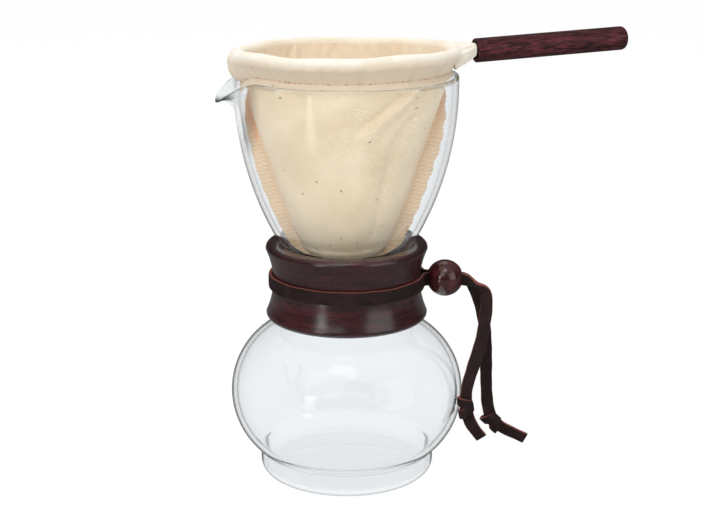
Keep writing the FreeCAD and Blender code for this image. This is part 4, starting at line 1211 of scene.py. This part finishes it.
class POT_OT_hem(bpy.types.Operator):
    """Makes the rolled hem, its gathered neck at the handle and its row of stitches"""

    bl_idname = "coffee_pot.hem"
    bl_label = "Filter Hem"

    def execute(self, context):
        self.c, self.g = context.scene.pot_cloth, context.scene.pot_glass
        c = self.c
        # The band colour paints the shade under the roll.
        finish = cotton("washed_hem", c.hem, c, fleck_share=0.03, nap=0.3, rib=0.15, band=c.band)
        self.ring(finish)
        self.neck(finish)
        self.stitches()
        return {"FINISHED"}

    def section(self):
        """The casing's drop-shaped section: a foot, the outer side up to a roll over the wire, and
        a straight inner side. The outer side comes first: from the foot it curves in to the
        stitches, a third of the way up, and then swings out to the roll."""
        c = self.c
        foot = self.g.funnel_radius - self.g.wall - 0.35 * MM
        groove = foot - 1.1 * MM
        roll = arc((c.ring_radius, c.ring_height), c.hem_tube, math.radians(-62), math.pi, 40)
        low = c.hem_bottom + 0.3 * MM
        share = np.linspace(0.0, 1.0, HEM_SIDE_POINTS, endpoint=False)
        thirds = 3.0 * share
        under = foot + (groove - foot) * np.sin(even_step(thirds, 0.0, 1.0) * math.pi / 2) ** 2
        over = (roll[0, 0] - groove) * even_step(thirds, 1.0, 3.0) ** 1.3
        outer = grid(under + over, low + (roll[0, 1] - low) * share)
        down = 1.0 - share[::-1, None]
        inner = roll[-1] * (1.0 - down) + np.array([foot - 2.3 * MM, low]) * down
        heel = grid([foot - 1.6 * MM, foot - 0.5 * MM], c.hem_bottom)
        return np.vstack([outer, roll, inner, heel])

    def drape(self, points, turn):
        """Moves points of the spun section: puckers along the stitches, slack above them, a roll
        that rides up at the front and an outer side that swells and sags over the pouring lip,
        where turn is the share of a full turn."""
        c, a = self.c, TURN * turn
        swell_at, swell_breadth, sag_at, sag_breadth = np.radians([165.0, 14.0, 170.0, 16.0])
        swell_depth, sag_depth, rise, lean = 4.2 * MM, 7.0 * MM, 0.55 * MM, 0.033
        share = (points[..., 2] - c.hem_bottom) / (c.ring_height - c.hem_bottom)
        share = np.clip(share, 0.0, 1.3)
        up = np.minimum(share, 1.0)
        outer = even_step(np.hypot(points[..., 0], points[..., 1]), 46.3 * MM, 47.5 * MM)
        swell = soft_step(share, 0.18, 0.40) * even_step(share, 1.05, 0.55)
        swell = swell * bell(a - swell_at, swell_breadth)
        sag = (1.0 - up) ** 1.5 * bell(a - sag_at, sag_breadth)
        pucker = ripple(
            turn, (0.24 * MM, 37.0, 0.2), (0.18 * MM, 53.0, 1.7), (0.14 * MM, 23.0, 0.5)
        )
        slack = ripple(turn, (0.40 * MM, 3.0, 1.0), (0.28 * MM, 5.0, 0.4), (0.18 * MM, 11.0, 2.0))
        push = pucker * np.sin(up * math.pi) - np.abs(pucker) * 0.4 + slack * share
        push = push + swell_depth * swell * outer
        lift = rise - lean * points[..., 1]
        lift = lift + ripple(turn, (0.30 * MM, 4.0, 0.5), (0.20 * MM, 9.0, 1.2))
        lift = lift * up - sag_depth * sag * outer
        return points + grid(push * np.cos(a), push * np.sin(a), lift)

    def ring(self, finish):
        """The section spun about the axis and draped."""
        section = self.section()
        turn = np.linspace(0.0, 1.0, 320, endpoint=False)
        points = self.drape(spin(section, TURN * turn), turn[None, :])
        around = np.linspace(0.0, TURN * self.c.ring_radius, len(turn) + 1)
        along = lengths_along(section, closed=True)
        mesh = grid_mesh("filter_hem", (points, True), u=along, v=around)
        new_piece("filter_hem_cotton", mesh, "filter", finish, "cotton", "filter_hem")

    def neck(self, finish):
        """Cloth gathered from the hem to the handle: flattened rings that narrow along the legs,
        the first bent to the hem's curve, with lengthwise gathers."""
        bottom, height = self.c.hem_bottom, self.c.ring_height
        rows, cols = 40, 72
        share = np.linspace(0.0, 1.0, rows)[:, None]
        half, low, high = (
            first * (1.0 - share**0.8) + last * share**0.8
            for first, last in (
                (25.0 * MM, 3.9 * MM),
                (bottom + 1.6 * MM, height - 3.1 * MM),
                (height + 3.2 * MM, height + 3.0 * MM),
            )
        )
        a = full_turn(cols)
        gather = ripple(a / TURN, (0.045, 7.0, 0.4), (0.035, 12.0, 1.1))
        gather = 1.0 + gather * np.sin(share * math.pi)
        y = half * signed_power(np.cos(a), 0.7) * gather
        z = (low + high) / 2 + (high - low) / 2 * signed_power(np.sin(a), 0.8) * gather
        root, reach = 49.5 * MM, 12.3 * MM
        x = root + reach * share - (1.0 - share) * (root - np.sqrt(root**2 - y**2))
        points = capped(grid(x, y, z))
        points[0, :, 0] = root
        # The UV starts in the hem band's painted shade at the hem and runs into the roll's tone.
        u = np.linspace(10.5 * MM, 16.5 * MM, rows + 3)
        v = np.linspace(0.0, 50.0 * MM, cols + 1)
        mesh = grid_mesh("filter_neck", (points, False), u=u, v=v)
        new_piece("filter_neck_cotton", mesh, "filter", finish, "cotton")

    def stitches(self):
        """One row of lock stitches in the hem's groove: short thread capsules end to end."""
        count, radius, proud, stitch_share = 118, 0.2 * MM, 0.1 * MM, 0.72
        reach, height = self.section()[HEM_SIDE_POINTS // 3]
        turn = (np.arange(count) / count)[:, None, None]
        theta, ring = np.linspace(0.0, math.pi, 7)[:, None], full_turn(8)
        along = -np.cos(theta) * math.pi * reach / count * stitch_share
        thick = np.sin(theta) ** 0.6 * radius
        out = reach + proud + thick * np.cos(ring)
        c, s = np.cos(TURN * turn), np.sin(TURN * turn)
        centre = grid(reach * c, reach * s, height)
        points = grid(out * c - along * s, out * s + along * c, height + thick * np.sin(ring))
        points = points + self.drape(centre, turn) - centre
        mesh = grid_mesh("hem_stitches", *((one, False) for one in points))
        new_piece("hem_stitches", mesh, "filter", sewing_thread(self.c), "cotton")


class POT_OT_seams(bpy.types.Operator):
    """Makes the overlocked seam allowances outside the bag"""

    bl_idname = "coffee_pot.seams"
    bl_label = "Seam Allowances"

    def execute(self, context):
        """A strip along each half of the bag's edge, from hem to toe, which stands out towards the
        glass. The free edge is ragged, and the strip ripples along its length."""
        c, g = context.scene.pot_cloth, context.scene.pot_glass
        finish = overlocked(c)
        share = depth_shares(straight=420, toe=60)
        height, wide, _ = bag_shape(c, g, share)
        wide = np.maximum(wide, 0.3 * MM)
        steps = lengths_along(grid(wide, height))
        loop = strap_loop(24, 4.0)
        over, thick = (loop[None, :, 0] + 1.0) / 2, loop[None, :, 1]
        sunk = even_step(share, 1.0, 2.0)
        root, least, half_thick, lean = 0.8 * MM, 0.8 * MM, 0.6 * MM, 1.2 * MM
        for name, side, phase, breadth, taper, clear, rag in (
            ("seam_left", -1.0, 0.3, 8.8 * MM, 0.0, 2.0 * MM, 0.5),
            ("seam_right", 1.0, 1.9, 8.4 * MM, 0.8 * MM, 0.4 * MM, 1.0),
        ):
            fray = (
                (0.26 * MM, 890.0, phase),
                (0.22 * MM, 410.0, 2.0 * phase),
                (0.35 * MM, 113.0, 0.0),
            )
            reach = breadth - taper * even_step(share, 0.5, 0.9)
            reach = np.minimum(reach, seam_room(share) - clear - half_thick)
            reach = reach + rag * (ripple(steps, *fray) - 0.5 * MM)
            reach = np.maximum(reach, least) * (1.0 - 0.75 * sunk)
            reach = (reach + root)[:, None] * over - root
            wave = ripple(steps, (0.45 * MM, 37.0, phase), (0.20 * MM, 83.0, 1.0))[:, None] * over
            x = side * (wide[:, None] + reach)
            y = half_thick * thick * (1.0 - 0.6 * over**2) + wave - lean * over**2
            x, y = twisted(x, y, share[:, None])
            points = capped(grid(x, y, height[:, None] - 0.35 * reach * sunk[:, None]))
            u = np.concatenate([[0.0], steps, steps[-1:], steps[-1:]])
            mesh = grid_mesh(name, (points, False), u=u, v=np.append(over, over[:, 0]))
            new_piece(f"{name}_cotton", mesh, "filter", finish, "cotton", name)
        return {"FINISHED"}


class POT_PT_panel(bpy.types.Panel):
    """Lists the pot's pieces and their settings"""

    bl_idname = "POT_PT_panel"
    bl_label = "Coffee Pot"
    bl_space_type = "VIEW_3D"
    bl_region_type = "UI"
    bl_category = "Coffee Pot"

    def draw(self, context):
        for operator in OPERATORS:
            self.layout.operator(operator.bl_idname)
        for name in SETTINGS:
            box = self.layout.box()
            group = getattr(context.scene, name)
            for key in group.bl_rna.properties.keys():
                if key not in {"rna_type", "name"}:
                    box.prop(group, key)


SETTINGS = {
    "pot_stage": StageSettings,
    "pot_glass": GlassSettings,
    "pot_wood": WoodSettings,
    "pot_lace": LaceSettings,
    "pot_cloth": ClothSettings,
}
OPERATORS = (
    POT_OT_stage,
    POT_OT_lace,
    POT_OT_bead,
    POT_OT_collar,
    POT_OT_glass,
    POT_OT_handle,
    POT_OT_panels,
    POT_OT_hem,
    POT_OT_seams,
)


def register():
    for cls in (*SETTINGS.values(), *OPERATORS, POT_PT_panel):
        bpy.utils.register_class(cls)
    for name, cls in SETTINGS.items():
        setattr(bpy.types.Scene, name, bpy.props.PointerProperty(type=cls))


def unregister():
    for name in SETTINGS:
        delattr(bpy.types.Scene, name)
    for cls in reversed((*SETTINGS.values(), *OPERATORS, POT_PT_panel)):
        bpy.utils.unregister_class(cls)


def main():
    register()
    for operator in OPERATORS:
        group, name = operator.bl_idname.split(".")
        getattr(getattr(bpy.ops, group), name)()


if __name__ == "__main__":
    main()
